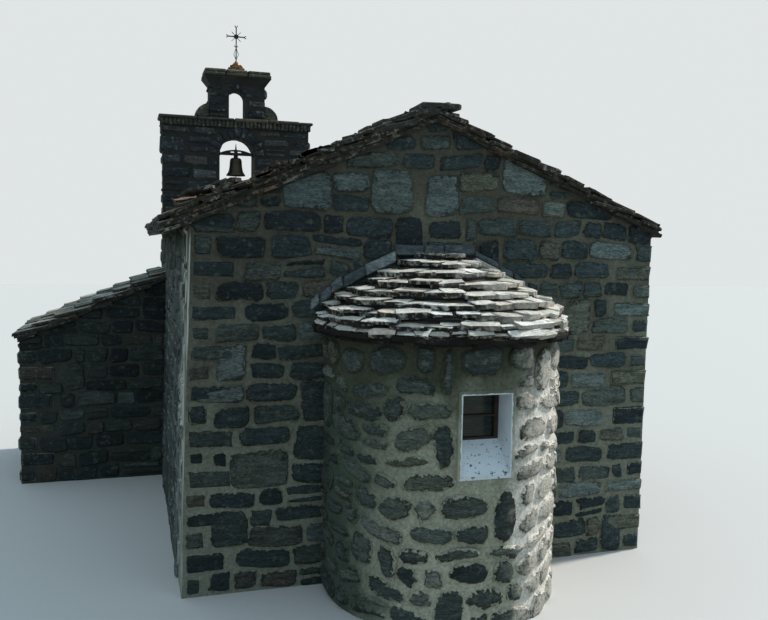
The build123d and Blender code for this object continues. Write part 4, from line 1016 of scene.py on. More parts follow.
def even_lines(foot, top, height):
    """Course lines over foot, evenly up to top."""
    rows = max(round((top - foot) / height), 1)
    return [foot + (top - foot) * row / rows for row in range(1, rows + 1)]


bell_rng = np.random.default_rng(52)
heap = Heap()
lower_half = (SILL_HIGH.x - SILL_LOW.x) / 2
tiers = ((EAVE_Z, CORNICE_LOW.z, LEFT_X, GABLE_RIGHT_X, lower_half, SILL_HIGH.z, PIER_HIGH.z, 0.2, 11,
          (0.28, 0.6)),
         (CORNICE_HIGH.z, CAP_LOW.z - FLARE_TALL, PILLAR_LOW.x, PILLAR_HIGH.x, UPPER_HALF, CORNICE_HIGH.z - 1,
          PILLAR_HIGH.z, 0.13, 7, (0.22, 0.42)))
for foot, top, x0, x1, half, sill, spring, ring, count, lengths in tiers:
    lines = [foot] + even_lines(foot, spring, PIER_ROW) + even_lines(spring, top, HEAD_ROW)
    openings = arched_opening(half, sill, spring, ring)
    for stone in lay_courses(bell_rng, lines, lambda v0, v1: (x0, x1), openings, lengths, tall=0.05):
        through_stone(heap, bell_rng, *stone, (stone[0] < x0 + EDGE, stone[1] > x1 - EDGE))
    arch_ring(heap, bell_rng, spring, half, ring, count)
heap.piece("bell_gable_stones", bell_stone, "bell_stone")

# %% [markdown]
# Roof slabs repeat along lines, so Geometry Nodes lay them. The tree takes a mesh of lines whose points say
# which way is uphill (inward), how steep the slab lies (slope) and how large it is (size). It walks each
# line in steps, picks one of six irregular slabs, turns it uphill, tips it, and gives each its own tint. A
# mason's roof is never regular, so the steps, turns and sizes all wander a little, from a fixed seed.
# %% Slab variants
SLAB_SIDES, SLAB_KINDS = 13, 6
SLAB_RINGS = ((0.975, -1.0), (1.0, -0.75), (0.995, -0.12), (0.975, 0.0))


def slab_variant(number, rng):
    """A slab one unit wide and deep and one thick, its outer edge at y = 0 and its upper face at z = 0."""
    x, y = rounded_square(SLAB_SIDES, 0.22)
    outline = np.stack((x / 2, y / 2 + 0.5), 1) + rng.uniform(-0.06, 0.06, (SLAB_SIDES, 2))
    centre = np.array((0.0, 0.5))
    points = []
    for scale, height in SLAB_RINGS:
        ring = centre + (outline - centre) * scale
        lift = rng.uniform(-0.13, 0.1, SLAB_SIDES) * (height > -1)
        points += [(u, v, height + rise) for (u, v), rise in zip(ring, lift)]
    points.append((0.0, 0.5, 0.06))
    mesh = bpy.data.meshes.new(f"slab_variant_{number}")
    mesh.from_pydata(points, [], stack_faces(4, SLAB_SIDES))
    store(mesh, "rim", "FLOAT", [1.0] * (3 * SLAB_SIDES) + [0.6] * SLAB_SIDES + [0.0])
    return mesh


def kinds_to_lay(name, meshes):
    """A collection that the tree picks from."""
    kinds = bpy.data.collections.new(name)
    for mesh in meshes:
        kinds.objects.link(bpy.data.objects.new(mesh.name, mesh))
    return kinds


slab_rng = np.random.default_rng(3)
slab_meshes = [slab_variant(number, slab_rng) for number in range(SLAB_KINDS)]
slab_variants = kinds_to_lay("slab_variants", slab_meshes)

# %% [markdown]
# The same pen that draws finishes draws the tree. Every random amount takes the seed of its piece and an
# offset of its own, so that no two amounts wander together and a piece comes out the same each time.
# %% Tree that lays stones along lines
TREE_INPUTS = (
    ("Geometry", "Geometry", None), ("Variants", "Collection", None), ("Spacing", "Float", 0.6),
    ("Slide", "Float", 0.04), ("Turn", "Float", 0.05), ("Nod", "Float", 0.02), ("Lift", "Float", 0.01),
    ("Inset", "Float", 0.0), ("Uneven", "Float", 0.15), ("Seed", "Int", 1), ("Finish", "Material", None))


def stones_along_lines():
    tree = bpy.data.node_groups.new("stones_along_lines", "GeometryNodeTree")
    for name, kind, value in TREE_INPUTS:
        socket = tree.interface.new_socket(name, in_out="INPUT", socket_type="NodeSocket" + kind)
        if value is not None:
            socket.default_value = value
    tree.interface.new_socket("Geometry", in_out="OUTPUT", socket_type="NodeSocketGeometry")
    given = tree.nodes.new("NodeGroupInput").outputs
    pen = Pen(tree)

    def any_value(low, high, offset):
        feeds = {2: low, 3: high, 8: pen.add(given["Seed"], offset)}
        return pen.put("FunctionNodeRandomValue", feeds, data_type="FLOAT").outputs[1]

    def either_way(name, offset):
        return any_value(pen.times(given[name], -1.0), given[name], offset)

    def on_point(name, kind="FLOAT"):
        return pen.put("GeometryNodeInputNamedAttribute", {"Name": name}, data_type=kind).outputs[0]

    def vector(operation, first, second, socket=1):
        return pen.put("ShaderNodeVectorMath", {0: first, socket: second}, operation=operation).outputs[0]

    def join(**parts):
        return pen.put("ShaderNodeCombineXYZ", parts).outputs[0]

    line = pen.put("GeometryNodeMeshToCurve", {"Mesh": given["Geometry"]}).outputs[0]
    steps = pen.put("GeometryNodeCurveToPoints", {"Curve": line, "Length": given["Spacing"]}, mode="LENGTH")
    inward = on_point("inward", "FLOAT_VECTOR")
    slide = vector("SCALE", steps.outputs["Tangent"], either_way("Slide", 1.0), "Scale")
    back = vector("SCALE", inward, any_value(0.0, given["Inset"], 11.0), "Scale")
    shift = vector("ADD", vector("ADD", slide, join(Z=either_way("Lift", 2.0))), back)
    placed = pen.put("GeometryNodeSetPosition", {"Geometry": steps.outputs["Points"], "Offset": shift})
    uphill = pen.put("FunctionNodeAlignRotationToVector", {"Vector": inward}, axis="Y", pivot_axis="Z")
    lean = join(X=pen.add(on_point("slope"), either_way("Nod", 3.0)),
                Y=pen.add(on_point("roll"), either_way("Nod", 4.0)), Z=either_way("Turn", 5.0))
    by = pen.put("FunctionNodeEulerToRotation", {0: lean})
    turned = pen.put("FunctionNodeRotateRotation",
                     {"Rotation": uphill.outputs[0], "Rotate By": by.outputs[0]}, rotation_space="LOCAL")
    grow = join(**{axis: pen.add(1.0, either_way("Uneven", 6.0 + step)) for step, axis in enumerate("XYZ")})
    kinds = pen.put("GeometryNodeCollectionInfo", {"Collection": given["Variants"], "Separate Children": True,
                                                   "Reset Children": True})
    laid = pen.put("GeometryNodeInstanceOnPoints",
                   {"Points": placed.outputs[0], "Instance": kinds.outputs[0], "Pick Instance": True,
                    "Instance Index": pen.maths("FLOOR", any_value(0.0, SLAB_KINDS - 0.01, 9.0)),
                    "Rotation": turned.outputs[0],
                    "Scale": vector("MULTIPLY", on_point("size", "FLOAT_VECTOR"), grow)})
    marked = pen.put("GeometryNodeStoreNamedAttribute",
                     {"Geometry": laid.outputs[0], "Name": "tint", "Value": any_value(0.0, 1.0, 10.0)},
                     data_type="FLOAT", domain="INSTANCE")
    real = pen.put("GeometryNodeRealizeInstances", {"Geometry": marked.outputs[0]})
    finished = pen.put("GeometryNodeSetMaterial", {"Geometry": real.outputs[0], "Material": given["Finish"]})
    pen.put("NodeGroupOutput", {0: finished.outputs[0]})
    return tree


slab_tree = stones_along_lines()
print(len(slab_tree.nodes), "nodes in the tree")

# %% [markdown]
# A line of slabs is given by its points and what each point carries. The tree runs as a modifier on those
# lines, the result is taken as a plain mesh, and the modifier object goes. Whatever stands past the packed
# roof's edge is pressed back to it, as a mason trims a slab, so that the roof keeps its measured outline.
# %% Laying slabs


def lay_slabs(name, lines, finish, slot, replaces=(), keep=None, roll=0.0, **inputs):
    """Lines are lists of (point, inward, slope, size). roll tips every slab along its line."""
    places, inward, slopes, sizes = zip(*(entry for line in lines for entry in line))
    edges, first = [], 0
    for line in lines:
        edges += [(first + step, first + step + 1) for step in range(len(line) - 1)]
        first += len(line)
    guide = bpy.data.meshes.new(name + "_lines")
    guide.from_pydata(places, edges, [])
    store(guide, "inward", "FLOAT_VECTOR", inward)
    store(guide, "slope", "FLOAT", slopes)
    store(guide, "size", "FLOAT_VECTOR", sizes)
    store(guide, "roll", "FLOAT", [roll] * len(places))
    carrier = add_object(guide.name, guide)
    modifier = carrier.modifiers.new("slabs", "NODES")
    modifier.node_group = slab_tree
    items = slab_tree.interface.items_tree
    sockets = {item.name: item.identifier for item in items if item.in_out == "INPUT"}
    for key, value in {"Variants": slab_variants, "Finish": finish, **inputs}.items():
        modifier[sockets[key]] = value
    bpy.context.view_layer.update()
    mesh = bpy.data.meshes.new_from_object(carrier.evaluated_get(bpy.context.evaluated_depsgraph_get()))
    mesh.name = name
    bpy.data.objects.remove(carrier)
    if keep is not None:
        flat = np.empty(len(mesh.vertices) * 3, dtype=np.float32)
        mesh.vertices.foreach_get("co", flat)
        mesh.vertices.foreach_set("co", flat.reshape(-1, 3).clip(*np.array(keep)).ravel())
        mesh.update()
    piece = make_piece(name, mesh)
    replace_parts(piece, *replaces)


def sweep(name, rows):
    """A bed under the slabs: a closed solid through rows of points, each row one outline of it."""
    count = len(rows[0])
    points = [point for row in rows for point in row]
    faces = [tuple(range(count)), tuple(reversed(range(len(points) - count, len(points))))]
    for row, side in product(range(len(rows) - 1), range(count)):
        here, there = row * count + side, row * count + (side + 1) % count
        faces.append((here, here + count, there + count, there))
    piece = mesh_piece(name, points, faces, roof_bed)
    shape = bmesh.new()
    shape.from_mesh(piece.data)
    bmesh.ops.remove_doubles(shape, verts=shape.verts, dist=1e-5)
    bmesh.ops.recalc_face_normals(shape, faces=shape.faces)
    shape.to_mesh(piece.data)
    shape.free()


def lay_bed(name, foot, top, y0, y1):
    """The bed of one slope. foot and top are (x, height of the underside, thickness)."""
    (x0, z0, thick0), (x1, z1, thick1) = foot, top
    outline = [(x0, z0), (x0, z0 + thick0), (x1, z1 + thick1), (x1, z1)]
    if x0 > x1:
        outline.reverse()
    sweep(name, [[(x, y, z) for x, z in outline] for y in (y0, y1)])


# %% [markdown]
# The nave's roof lies in eleven courses a side. A course's slabs rest on the course below, so they lie
# flatter than the roof itself, and each course is two or three slabs deep at its edge: a thick upper one
# and others set back under it. The left roof reaches further out and is thicker than the right one. Short
# slabs are stacked along the sloping edges, and a few loose stones weigh the left one down.
# %% Nave roof
ROOF_COURSES, SLAB_LENGTH, SLAB_STEP = 11, 0.5, 0.055
ROOF_LOW, ROOF_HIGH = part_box("roof_slabs_right")
ROOF_LEFT_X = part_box("roof_slabs_left")[0].x
RIDGE_LOW, RIDGE_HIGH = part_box("ridge_slabs")
SLABS_LIE = {"Turn": 0.11, "Slide": 0.08, "Uneven": 0.25, "Lift": 0.014}
VERGE_LIE = {"Spacing": 0.33, "Turn": 0.12, "Nod": 0.05, "Uneven": 0.25}
VERGE_SIZE, BED_BACK = (0.4, 0.3, 0.036), 0.07
LEFT_LAYERS = ((0.216, 0.0, 0.05, 0.55), (0.162, 0.03, 0.05, 0.4), (0.107, 0.05, 0.055, 0.4))
RIGHT_LAYERS = ((0.146, 0.0, 0.045, 0.55), (0.094, 0.03, 0.045, 0.4))
LEFT_TOPS, RIGHT_TOPS = (0.045, 0.086, 0.128, 0.17, 0.214), (0.04, 0.078, 0.112, 0.145)


def slope_lines(side, reach, pitch, top_z, start_x, y0, y1, spacing, layers, courses):
    """Lines for the courses of one slope. layers are (top over the underside, set back, thick, depth)."""
    lines = []
    tilt = atan(pitch - SLAB_STEP * courses / reach)
    for course, (top, back, thick, depth) in product(range(courses), layers):
        out = reach * (1 - course / courses) - back
        x, z = start_x + side * out, top_z - out * pitch + top
        shift = spacing * (0.5 + 0.5 * (course % 2))
        size = (spacing * 1.03, max(min(depth, out / cos(tilt)), 0.15), thick)
        lines.append([((x, y, z), (-side, 0, 0), tilt, size) for y in (y0 + shift, y1 - spacing / 2)])
    return lines


def lay_verge(name, seed, side, reach, pitch, y, inward, tops, keep):
    """Short slabs stacked along the sloping edge of the roof."""
    lines = []
    for number, top in enumerate(tops):
        back = 0.02 * (number % 2) + 0.01 * (len(tops) - 1 - number)
        ends = [(side * out, y + inward * back, APEX_Z - out * pitch + top)
                for out in (reach - 0.2 - 0.1 * (number % 2), 0.12)]
        lines.append([(end, (0, inward, 0), 0.0, VERGE_SIZE) for end in ends])
    lay_slabs(name, lines, verge_stone, "slab_stone", (), keep, side * inward * atan(pitch) * 0.85, Seed=seed,
              **VERGE_LIE)


SLOPES = (
    ("left", -1, -ROOF_LEFT_X, LEFT_PITCH, PIER_LOW.y, 0.0, LEFT_LAYERS, LEFT_TOPS, (0.1, 0.13, 0.0)),
    ("right", 1, ROOF_HIGH.x, RIGHT_PITCH, ROOF_HIGH.y, 0.1, RIGHT_LAYERS, RIGHT_TOPS,
     (0.06, 0.075, BED_BACK)))
slope_boxes = []
for number, (name, side, reach, pitch, end_y, short, layers, tops, bed) in enumerate(SLOPES):
    at_foot, at_top, back = bed
    x0, x1 = sorted((side * reach, -side * 0.3))
    box = ((x0, ROOF_LOW.y, 0), (x1, end_y, RIDGE_HIGH.z))
    slope_boxes.append(box)
    lines = slope_lines(side, reach, pitch, APEX_Z, 0.0, ROOF_LOW.y + 0.1, end_y - short, SLAB_LENGTH, layers,
                        ROOF_COURSES)
    lay_slabs(name + "_roof_slabs", lines, roof_stone, "slab_stone", ("roof_slabs_" + name,), box,
              Spacing=SLAB_LENGTH, Seed=11 + number, **SLABS_LIE)
    lay_verge(name + "_verge_slabs", 16 + number, side, reach, pitch, ROOF_LOW.y, 1, tops, box)
    foot_x = side * (reach - BED_BACK)
    lay_bed(name + "_roof_bed", (foot_x, roof_z(foot_x), at_foot), (0, APEX_Z, at_top),
            ROOF_LOW.y + BED_BACK, end_y - back)
lay_verge("front_verge_slabs", 18, 1, ROOF_HIGH.x, RIGHT_PITCH, ROOF_HIGH.y, -1, RIGHT_TOPS, slope_boxes[1])
LOOSE = ((-2.86, -2.3, 0.12, 0.25), (-2.8, -2.4, 0.2, 0.285), (-2.76, -2.5, 0.15, 0.325),
         (-2.06, -1.4, 0.08, 0.232), (-2.02, -1.6, 0.12, 0.258))
loose_lines = []
for x0, x1, set_back, rise in LOOSE:
    ends = [(x, ROOF_LOW.y + set_back, roof_z(x) + rise) for x in (x0, x1)]
    loose_lines.append([(end, (1, 0, 0), atan(LEFT_PITCH) * 0.7, (0.24, 0.2, 0.045)) for end in ends])
lay_slabs("loose_verge_stones", loose_lines, verge_stone, "slab_stone", (), slope_boxes[0], Spacing=0.17,
          Seed=93, Turn=1.2, Slide=0.05, Nod=0.12, Uneven=0.35, Lift=0.01)

# %% [markdown]
# The ridge is a row of broad flat slabs, with the left one lapping over the right one. The side room's roof
# is one slope of the same slabs that runs up under the nave's eave.
# %% Ridge and side room roof
RIDGE_LENGTH, ANNEX_LENGTH, ANNEX_COURSES = 0.66, 0.46, 8
ANNEX_LAYERS = ((0.178, 0.0, 0.05, 0.5), (0.122, 0.03, 0.05, 0.4), (0.07, 0.05, 0.05, 0.3))
ridge_lines = []
for side, drop in ((1, 0.065), (-1, 0.0)):
    z = RIDGE_HIGH.z - 0.012 - drop
    ends = [(side * -0.26, y, z) for y in (RIDGE_LOW.y + 0.33 + 0.1 * side, PIER_LOW.y - 0.3)]
    ridge_lines.append([(end, (side, 0, 0), radians(-1.0), (RIDGE_LENGTH, 0.52, 0.06)) for end in ends])
lay_slabs("ridge_stones", ridge_lines, roof_stone, "slab_stone", ("ridge_slabs",),
          ((-0.32, RIDGE_LOW.y, 0), (0.32, RIDGE_HIGH.y, RIDGE_HIGH.z)), Spacing=RIDGE_LENGTH, Seed=13,
          Turn=0.08)
annex_lines = slope_lines(-1, LEFT_X - LEAN_LOW.x, ANNEX_PITCH, ANNEX_TOP_Z, LEFT_X,
                          LEAN_LOW.y, LEAN_HIGH.y, ANNEX_LENGTH, ANNEX_LAYERS, ANNEX_COURSES)
lay_slabs("annex_roof_stones", annex_lines, roof_stone, "slab_stone", ("annex_slabs",),
          ((LEAN_LOW.x, LEAN_LOW.y, 0), (LEFT_X + 0.02, LEAN_HIGH.y, LEAN_HIGH.z)), Spacing=ANNEX_LENGTH,
          Seed=14, **SLABS_LIE)
foot_x = LEAN_LOW.x + BED_BACK
lay_bed("annex_roof_bed", (foot_x, annex_roof(foot_x), 0.08), (LEFT_X, ANNEX_TOP_Z, 0.09),
        LEAN_LOW.y + BED_BACK, LEAN_HIGH.y - BED_BACK)

# %% [markdown]
# The apse's roof is a half cone with a belly: nine rims of bright slabs, each of which runs half round and
# back to the gable. The same tree lays them along bent lines, with uphill pointing to the axis at every
# point. Thin near-black slabs behind each rim and under the eave are painted shadow, the shade under them.
# %% Apse roof
APSE_COURSE_RADII = (1.44, 1.372, 1.235, 1.072, 0.888, 0.686, 0.470, 0.241)
APSE_RISE = (APSE_TOP_Z - APSE_ROOF_Z) / len(APSE_COURSE_RADII)
APSE_THICK, APSE_STEPS, APSE_LENGTH = 0.054, 24, 0.25


def half_round():
    """Turns from the left side of the apse to the right one."""
    return [pi * step / APSE_STEPS for step in range(APSE_STEPS + 1)]


def apse_line(radius, z, tilt, width, depth, thick, trim=0.12):
    """A line half round the apse and back to the gable, each point looking at the axis."""
    line = [((-radius, REAR_Y - trim, z), (1, 0, 0))]
    line += [((-radius * cos(turn), APSE_Y - radius * sin(turn), z), (cos(turn), sin(turn), 0))
             for turn in half_round()]
    line.append(((radius, REAR_Y - trim, z), (-1, 0, 0)))
    return [(place, inward, tilt, (width, depth, thick)) for place, inward in line]


rim_lines = []
# Painted shadow: the eave's two lines and a thin slab under every rim are near-black, to stand for the shade
# there.
shadow_lines = [apse_line(APSE_EDGE - 0.03, APSE_ROOF_Z - 0.03, radians(6), 0.34, 0.34, 0.045),
                apse_line(APSE_EDGE - 0.06, APSE_ROOF_Z - 0.07, radians(3), 0.3, 0.34, 0.04)]
profile = [(0.0, APSE_ROOF_Z - 0.02), (APSE_EDGE - 0.16, APSE_ROOF_Z - 0.02)]
rims = [(APSE_EDGE - 0.004, APSE_ROOF_Z + 0.005)]
rims += [(radius, APSE_ROOF_Z + APSE_RISE * (course + 1)) for course, radius in enumerate(APSE_COURSE_RADII)]
for (radius, z), (inner, above) in zip(rims, rims[1:] + [(0.03, APSE_TOP_Z + APSE_RISE * 0.4)]):
    tilt = atan((above - z - APSE_THICK * 1.45) / (radius - inner))
    depth = min((radius - inner) / cos(tilt) + 0.07, radius)
    width = 0.34 if radius > 0.6 else 0.24
    rim_lines.append(apse_line(radius, z, tilt, width, depth, APSE_THICK))
    shadow_lines.append(apse_line(radius - 0.05, z - APSE_THICK * 0.8, tilt, width, depth, 0.03))
    profile.append((radius - 0.1, z - 0.055))
profile.append((0.0, APSE_TOP_Z - 0.04))
apse_box = ((APSE_LOW.x, APSE_LOW.y, 0), (APSE_HIGH.x, REAR_Y, APSE_TOP_Z))
lay_slabs("apse_roof_stones", rim_lines, apse_slab_stone, "apse_slab_stone", ("apse_roof_slabs",), apse_box,
          Spacing=APSE_LENGTH, Seed=15, Turn=0.22, Uneven=0.34, Inset=0.075, Lift=0.018, Nod=0.05)
lay_slabs("apse_eave_stones", shadow_lines, shadow_stone, "apse_slab_stone", ("apse_eave_course",), apse_box,
          Spacing=APSE_LENGTH, Seed=20, Turn=0.12, Uneven=0.2, Inset=0.03, Lift=0.006)
turns = [(0.0, REAR_Y)] + [(turn, APSE_Y) for turn in half_round()] + [(pi, REAR_Y)]
sweep("apse_roof_bed", [[(-radius * cos(turn), back - radius * sin(turn), z) for radius, z in profile]
                        for turn, back in turns])

# %% [markdown]
# Where the apse roof meets the gable, thin slabs are let into the wall like a drip course and throw the
# water forward. They lie close over the roof and follow its outline, so each is a block between two points
# of that line, with three level ones over the top. On the right a line of lime fills the gap under them.
# %% Weathering slabs
WEATHER_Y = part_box("apse_weathering")[0].y
WEATHER_STOPS = (0.0, 0.3, 0.6, 0.85)
WEATHER_TOP_SHARE = 0.74
WEATHER_BACK, WEATHER_JOINT = REAR_Y + 0.05, 0.004
# Painted light and shade: the left run takes paler tints for the sky light on it, the right run darker ones
# for the shade it lies in.
WEATHER_SIDES = ((-1, (0.0, 0.125), (0.3, 0.95), (0.0, 0.11, 0.25, 0.36, 0.52, WEATHER_TOP_SHARE)),
                 (1, (0.045, 0.13), (0.1, 0.5), (0.0, 0.16, 0.27, 0.42, 0.55, WEATHER_TOP_SHARE)))


def weather_line(share):
    """A point of the roof's outline: (distance from the axis, height of the underside)."""
    reach = [APSE_EDGE * (1 - stop ** ROOF_BELLY) for stop in WEATHER_STOPS]
    height = APSE_ROOF_Z + APSE_RISE + (APSE_TOP_Z - APSE_ROOF_Z) * share
    return np.interp(share, WEATHER_STOPS, reach), height


def sloping_block(heap, rng, side, share0, share1, rises, out, tint):
    """A block between two points of the roof's outline. rises are the heights above it, below and above."""
    (x0, z0), (x1, z1) = sorted((side * x, z) for x, z in (weather_line(share0), weather_line(share1)))
    xs, ys, zs = (x0 + WEATHER_JOINT, x1 - WEATHER_JOINT), (out, WEATHER_BACK), (z0, z1)
    corners = grid(lambda i, j, up: (xs[i], ys[j], zs[i] + rises[up]))
    add_block(heap, rng, corners, tint, 0.02, 0.014)


weather_rng = np.random.default_rng(61)
heap, lime_heap = Heap(), Heap()
for side, (under, over), side_tints_lit_and_shaded, shares in WEATHER_SIDES:
    for s0, s1 in zip(shares, shares[1:]):
        out = WEATHER_Y + weather_rng.uniform(0, 0.03)
        lift = weather_rng.uniform(-0.012, 0.012)
        rises = (under + 0.004 + lift, over - 0.002 + lift)
        sloping_block(heap, weather_rng, side, s0, s1, rises, out, weather_rng.uniform(*side_tints_lit_and_shaded))
        if side > 0:
            sloping_block(lime_heap, weather_rng, side, s0, s1, (-0.02, 0.05), WEATHER_Y - 0.03, 0.5)
top_x = weather_line(WEATHER_TOP_SHARE)[0]
top_cuts = (-top_x, -0.15, 0.1, top_x)
for x0, x1 in zip(top_cuts, top_cuts[1:]):
    low = (x0 + WEATHER_JOINT, WEATHER_Y + 0.004, APSE_TOP_Z - 0.03)
    high = (x1 - WEATHER_JOINT, WEATHER_BACK, APSE_TOP_Z + 0.085 + weather_rng.uniform(-0.012, 0.012))
    add_box(heap, weather_rng, low, high, weather_rng.uniform(0.05, 0.4), 0.014, 0.01)
lime_heap.piece("weathering_lime", lime_line, "weathering_stone")
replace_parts(heap.piece("weathering_stones", weather_stone, "weathering_stone"), "apse_weathering")

# %% [markdown]
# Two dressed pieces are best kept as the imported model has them, only worn: the volutes and the cross. The
# copy's flat faces are joined, its sharp edges bevelled, its faces cut into a fine net and every point
# pressed inwards by a noise, so that the worn piece never leaves the block it was cut from.
# %% Worn copies
FLAT_ANGLE, SHARP_ANGLE = radians(3), radians(28)


def worn_copy(name, node, finish, bevel, net, depth, rounds=4):
    """bevel, net and depth are the width of the bevel, the longest edge of the net and the deepest wear."""
    shape = bmesh.new()
    shape.from_mesh(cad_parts[node].data)
    bmesh.ops.remove_doubles(shape, verts=shape.verts, dist=1e-5)
    bmesh.ops.dissolve_limit(shape, angle_limit=FLAT_ANGLE, verts=shape.verts, edges=shape.edges)
    inner = [edge for edge in shape.edges if len(edge.link_faces) == 2]
    sharp = [edge for edge in inner if edge.calc_face_angle() > SHARP_ANGLE]
    bmesh.ops.bevel(shape, geom=sharp, offset=bevel, segments=2, profile=0.6, affect="EDGES",
                    clamp_overlap=True)
    rim_layer = shape.verts.layers.float.new("rim")
    tint_layer = shape.verts.layers.float.new("tint")
    bmesh.ops.triangulate(shape, faces=shape.faces)
    for turn in range(rounds):
        long_edges = [edge for edge in shape.edges if edge.calc_length() > net]
        bmesh.ops.subdivide_edges(shape, edges=long_edges, cuts=1)
        bmesh.ops.triangulate(shape, faces=shape.faces)
    shape.normal_update()
    moves = []
    for vert in shape.verts:
        wear = 0.5 + 0.5 * terrain.fractal(vert.co * 9.0, 0.7, 2.0, 4)
        moves.append(vert.normal * -depth * min(max(wear, 0.0), 1.0))
        vert[rim_layer] = min(max(edge.calc_face_angle(0.0) for edge in vert.link_edges) * 1.6, 1.0)
        vert[tint_layer] = 0.4 + 0.25 * terrain.noise(vert.co * 4.0)
    for vert, move in zip(shape.verts, moves):
        vert.co += move
    mesh = bpy.data.meshes.new(name)
    shape.to_mesh(mesh)
    shape.free()
    mesh.materials.append(finish)
    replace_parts(make_piece(name, mesh), node)


worn_copy("worn_volutes", "volutes", cap_stone, 0.02, 0.07, 0.016)
worn_copy("worn_cross", "iron_cross", iron, 0.0022, 0.2, 0.0008, rounds=1)

# %% [markdown]
# The two cornices of the bell gable are built up of thin slabs. The lower one rests on a row of small
# upright stones, which the same tree sets out as it did the roof's slabs. The cap spreads on a flare of
# three leaning stones.
# %% Cornice and cap
CORNICE_JOINT = 0.004
CORNICE_Z, CORNICE_SLAB_Z = CORNICE_LOW.z, CORNICE_HIGH.z - 0.06
DENTIL_PROUD, DENTIL_BACK = 0.045, 0.022
CAP_SHARES = (-1.0, -0.36, 0.3, 1.0)
cornice_rng = np.random.default_rng(71)
heap = Heap()
add_box(heap, cornice_rng, (LEFT_X - DENTIL_BACK, PIER_LOW.y - DENTIL_BACK, CORNICE_Z),
        (GABLE_RIGHT_X + DENTIL_BACK, PIER_HIGH.y + DENTIL_BACK, CORNICE_SLAB_Z), 0.1, 0.01, 0.0)
x = CORNICE_LOW.x
while x < CORNICE_HIGH.x - 0.05:
    after = min(x + cornice_rng.uniform(0.42, 0.72), CORNICE_HIGH.x)
    if CORNICE_HIGH.x - after < 0.25:
        after = CORNICE_HIGH.x
    front, back, drop = (cornice_rng.uniform(0, most) for most in (0.02, 0.02, 0.01))
    slab_low = (x + CORNICE_JOINT, CORNICE_LOW.y + front, CORNICE_SLAB_Z)
    slab_high = (after - CORNICE_JOINT, CORNICE_HIGH.y - back, CORNICE_HIGH.z - drop)
    add_box(heap, cornice_rng, slab_low, slab_high, cornice_rng.random(), 0.02, 0.003)
    x = after
pillar_half = np.array(((PILLAR_HIGH.x - PILLAR_LOW.x) / 2, (PIER_HIGH.y - PIER_LOW.y) / 2))
cap_half = np.array(((CAP_HIGH.x - CAP_LOW.x) / 2, (CAP_HIGH.y - CAP_LOW.y) / 2))


def flare_corner(share, way, rise):
    """A corner of the flare: share along it, way -1 at its back or 1, rise from its foot to the cap."""
    half, deep = pillar_half + (cap_half - pillar_half) * rise ** 1.8
    return BELL_X + share * half, MIDDLE_Y + way * deep, CAP_LOW.z + FLARE_TALL * (rise - 1)


for s0, s1 in zip(CAP_SHARES, CAP_SHARES[1:]):
    for foot in (0.0, 0.5):
        corners = grid(lambda i, j, up: flare_corner((s0, s1)[i], 2 * j - 1, foot + 0.5 * up))
        add_block(heap, cornice_rng, corners, cornice_rng.uniform(0.1, 0.6), 0.025, 0.007)
    for z0, z1, out in ((CAP_LOW.z, CAP_LOW.z + 0.068, 0.0), (CAP_LOW.z + 0.07, CAP_HIGH.z, -0.015)):
        cap_low = (BELL_X + s0 * (cap_half[0] + out) + CORNICE_JOINT, CAP_LOW.y - out, z0)
        cap_high = (BELL_X + s1 * (cap_half[0] + out) - CORNICE_JOINT, CAP_HIGH.y + out, z1)
        add_box(heap, cornice_rng, cap_low, cap_high, cornice_rng.uniform(0.2, 1.0), 0.02, 0.004)
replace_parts(heap.piece("cornice_and_cap_stones", cap_stone, "bell_stone"), "lower_cornice", "cap_slab")
dentil_lines = [[((x, y, CORNICE_SLAB_Z), (0, inward, 0), 0.0, (0.052, 0.12, CORNICE_SLAB_Z - CORNICE_Z))
                 for x in (LEFT_X - 0.01, GABLE_RIGHT_X + 0.01)]
                for y, inward in ((PIER_LOW.y - DENTIL_PROUD, 1), (PIER_HIGH.y + DENTIL_PROUD, -1))]
lay_slabs("cornice_dentils", dentil_lines, cap_stone, "bell_stone", Spacing=0.073, Seed=19, Slide=0.004,
          Turn=0.05, Nod=0.01, Lift=0.002, Uneven=0.08)

# %% [markdown]
# Both doors are leaves of upright boards on three ledges, hung on wrought strap hinges. The boards' edges
# are rounded, so that a groove shows between them, and each has its own shade. Straps are thin blocks that
# taper to a point, and the tree that lays slabs also drives the nails, with a low dome in place of a slab.
# %% Doors
LEDGE_WIDTH, BOARD_THICK, BOARD_GAP = 0.13, 0.05, 0.0015
STRAP_WIDTH, STRAP_THICK, STRAP_SUNK = 0.042, 0.007, 0.002
STRAP_PARTS = ((0.0, 0.86, 1.0, 0.62), (0.86, 0.94, 0.62, 0.95))
STRAP_TIP = 0.003
RING_STEPS, RING_RADIUS, RING_BAR = 20, 0.05, 0.0065
NAIL_SIDES = 8
door_rng = np.random.default_rng(91)


def nail_head():
    """A low dome one unit wide, its foot at z = 0."""
    turns = np.arange(NAIL_SIDES) * 2 * pi / NAIL_SIDES
    rings = ((0.5, -0.5), (0.5, 0.1), (0.3, 0.45))
    points = [(reach * cos(turn), reach * sin(turn), rise) for reach, rise in rings for turn in turns]
    mesh = bpy.data.meshes.new("nail_head")
    mesh.from_pydata(points + [(0.0, 0.0, 0.55)], [], stack_faces(3, NAIL_SIDES))
    return mesh


def iron_block(heap, corners, inset, wander=0.0):
    """A block of iron, all of one shade."""
    add_block(heap, door_rng, corners, 0.5, inset, wander)


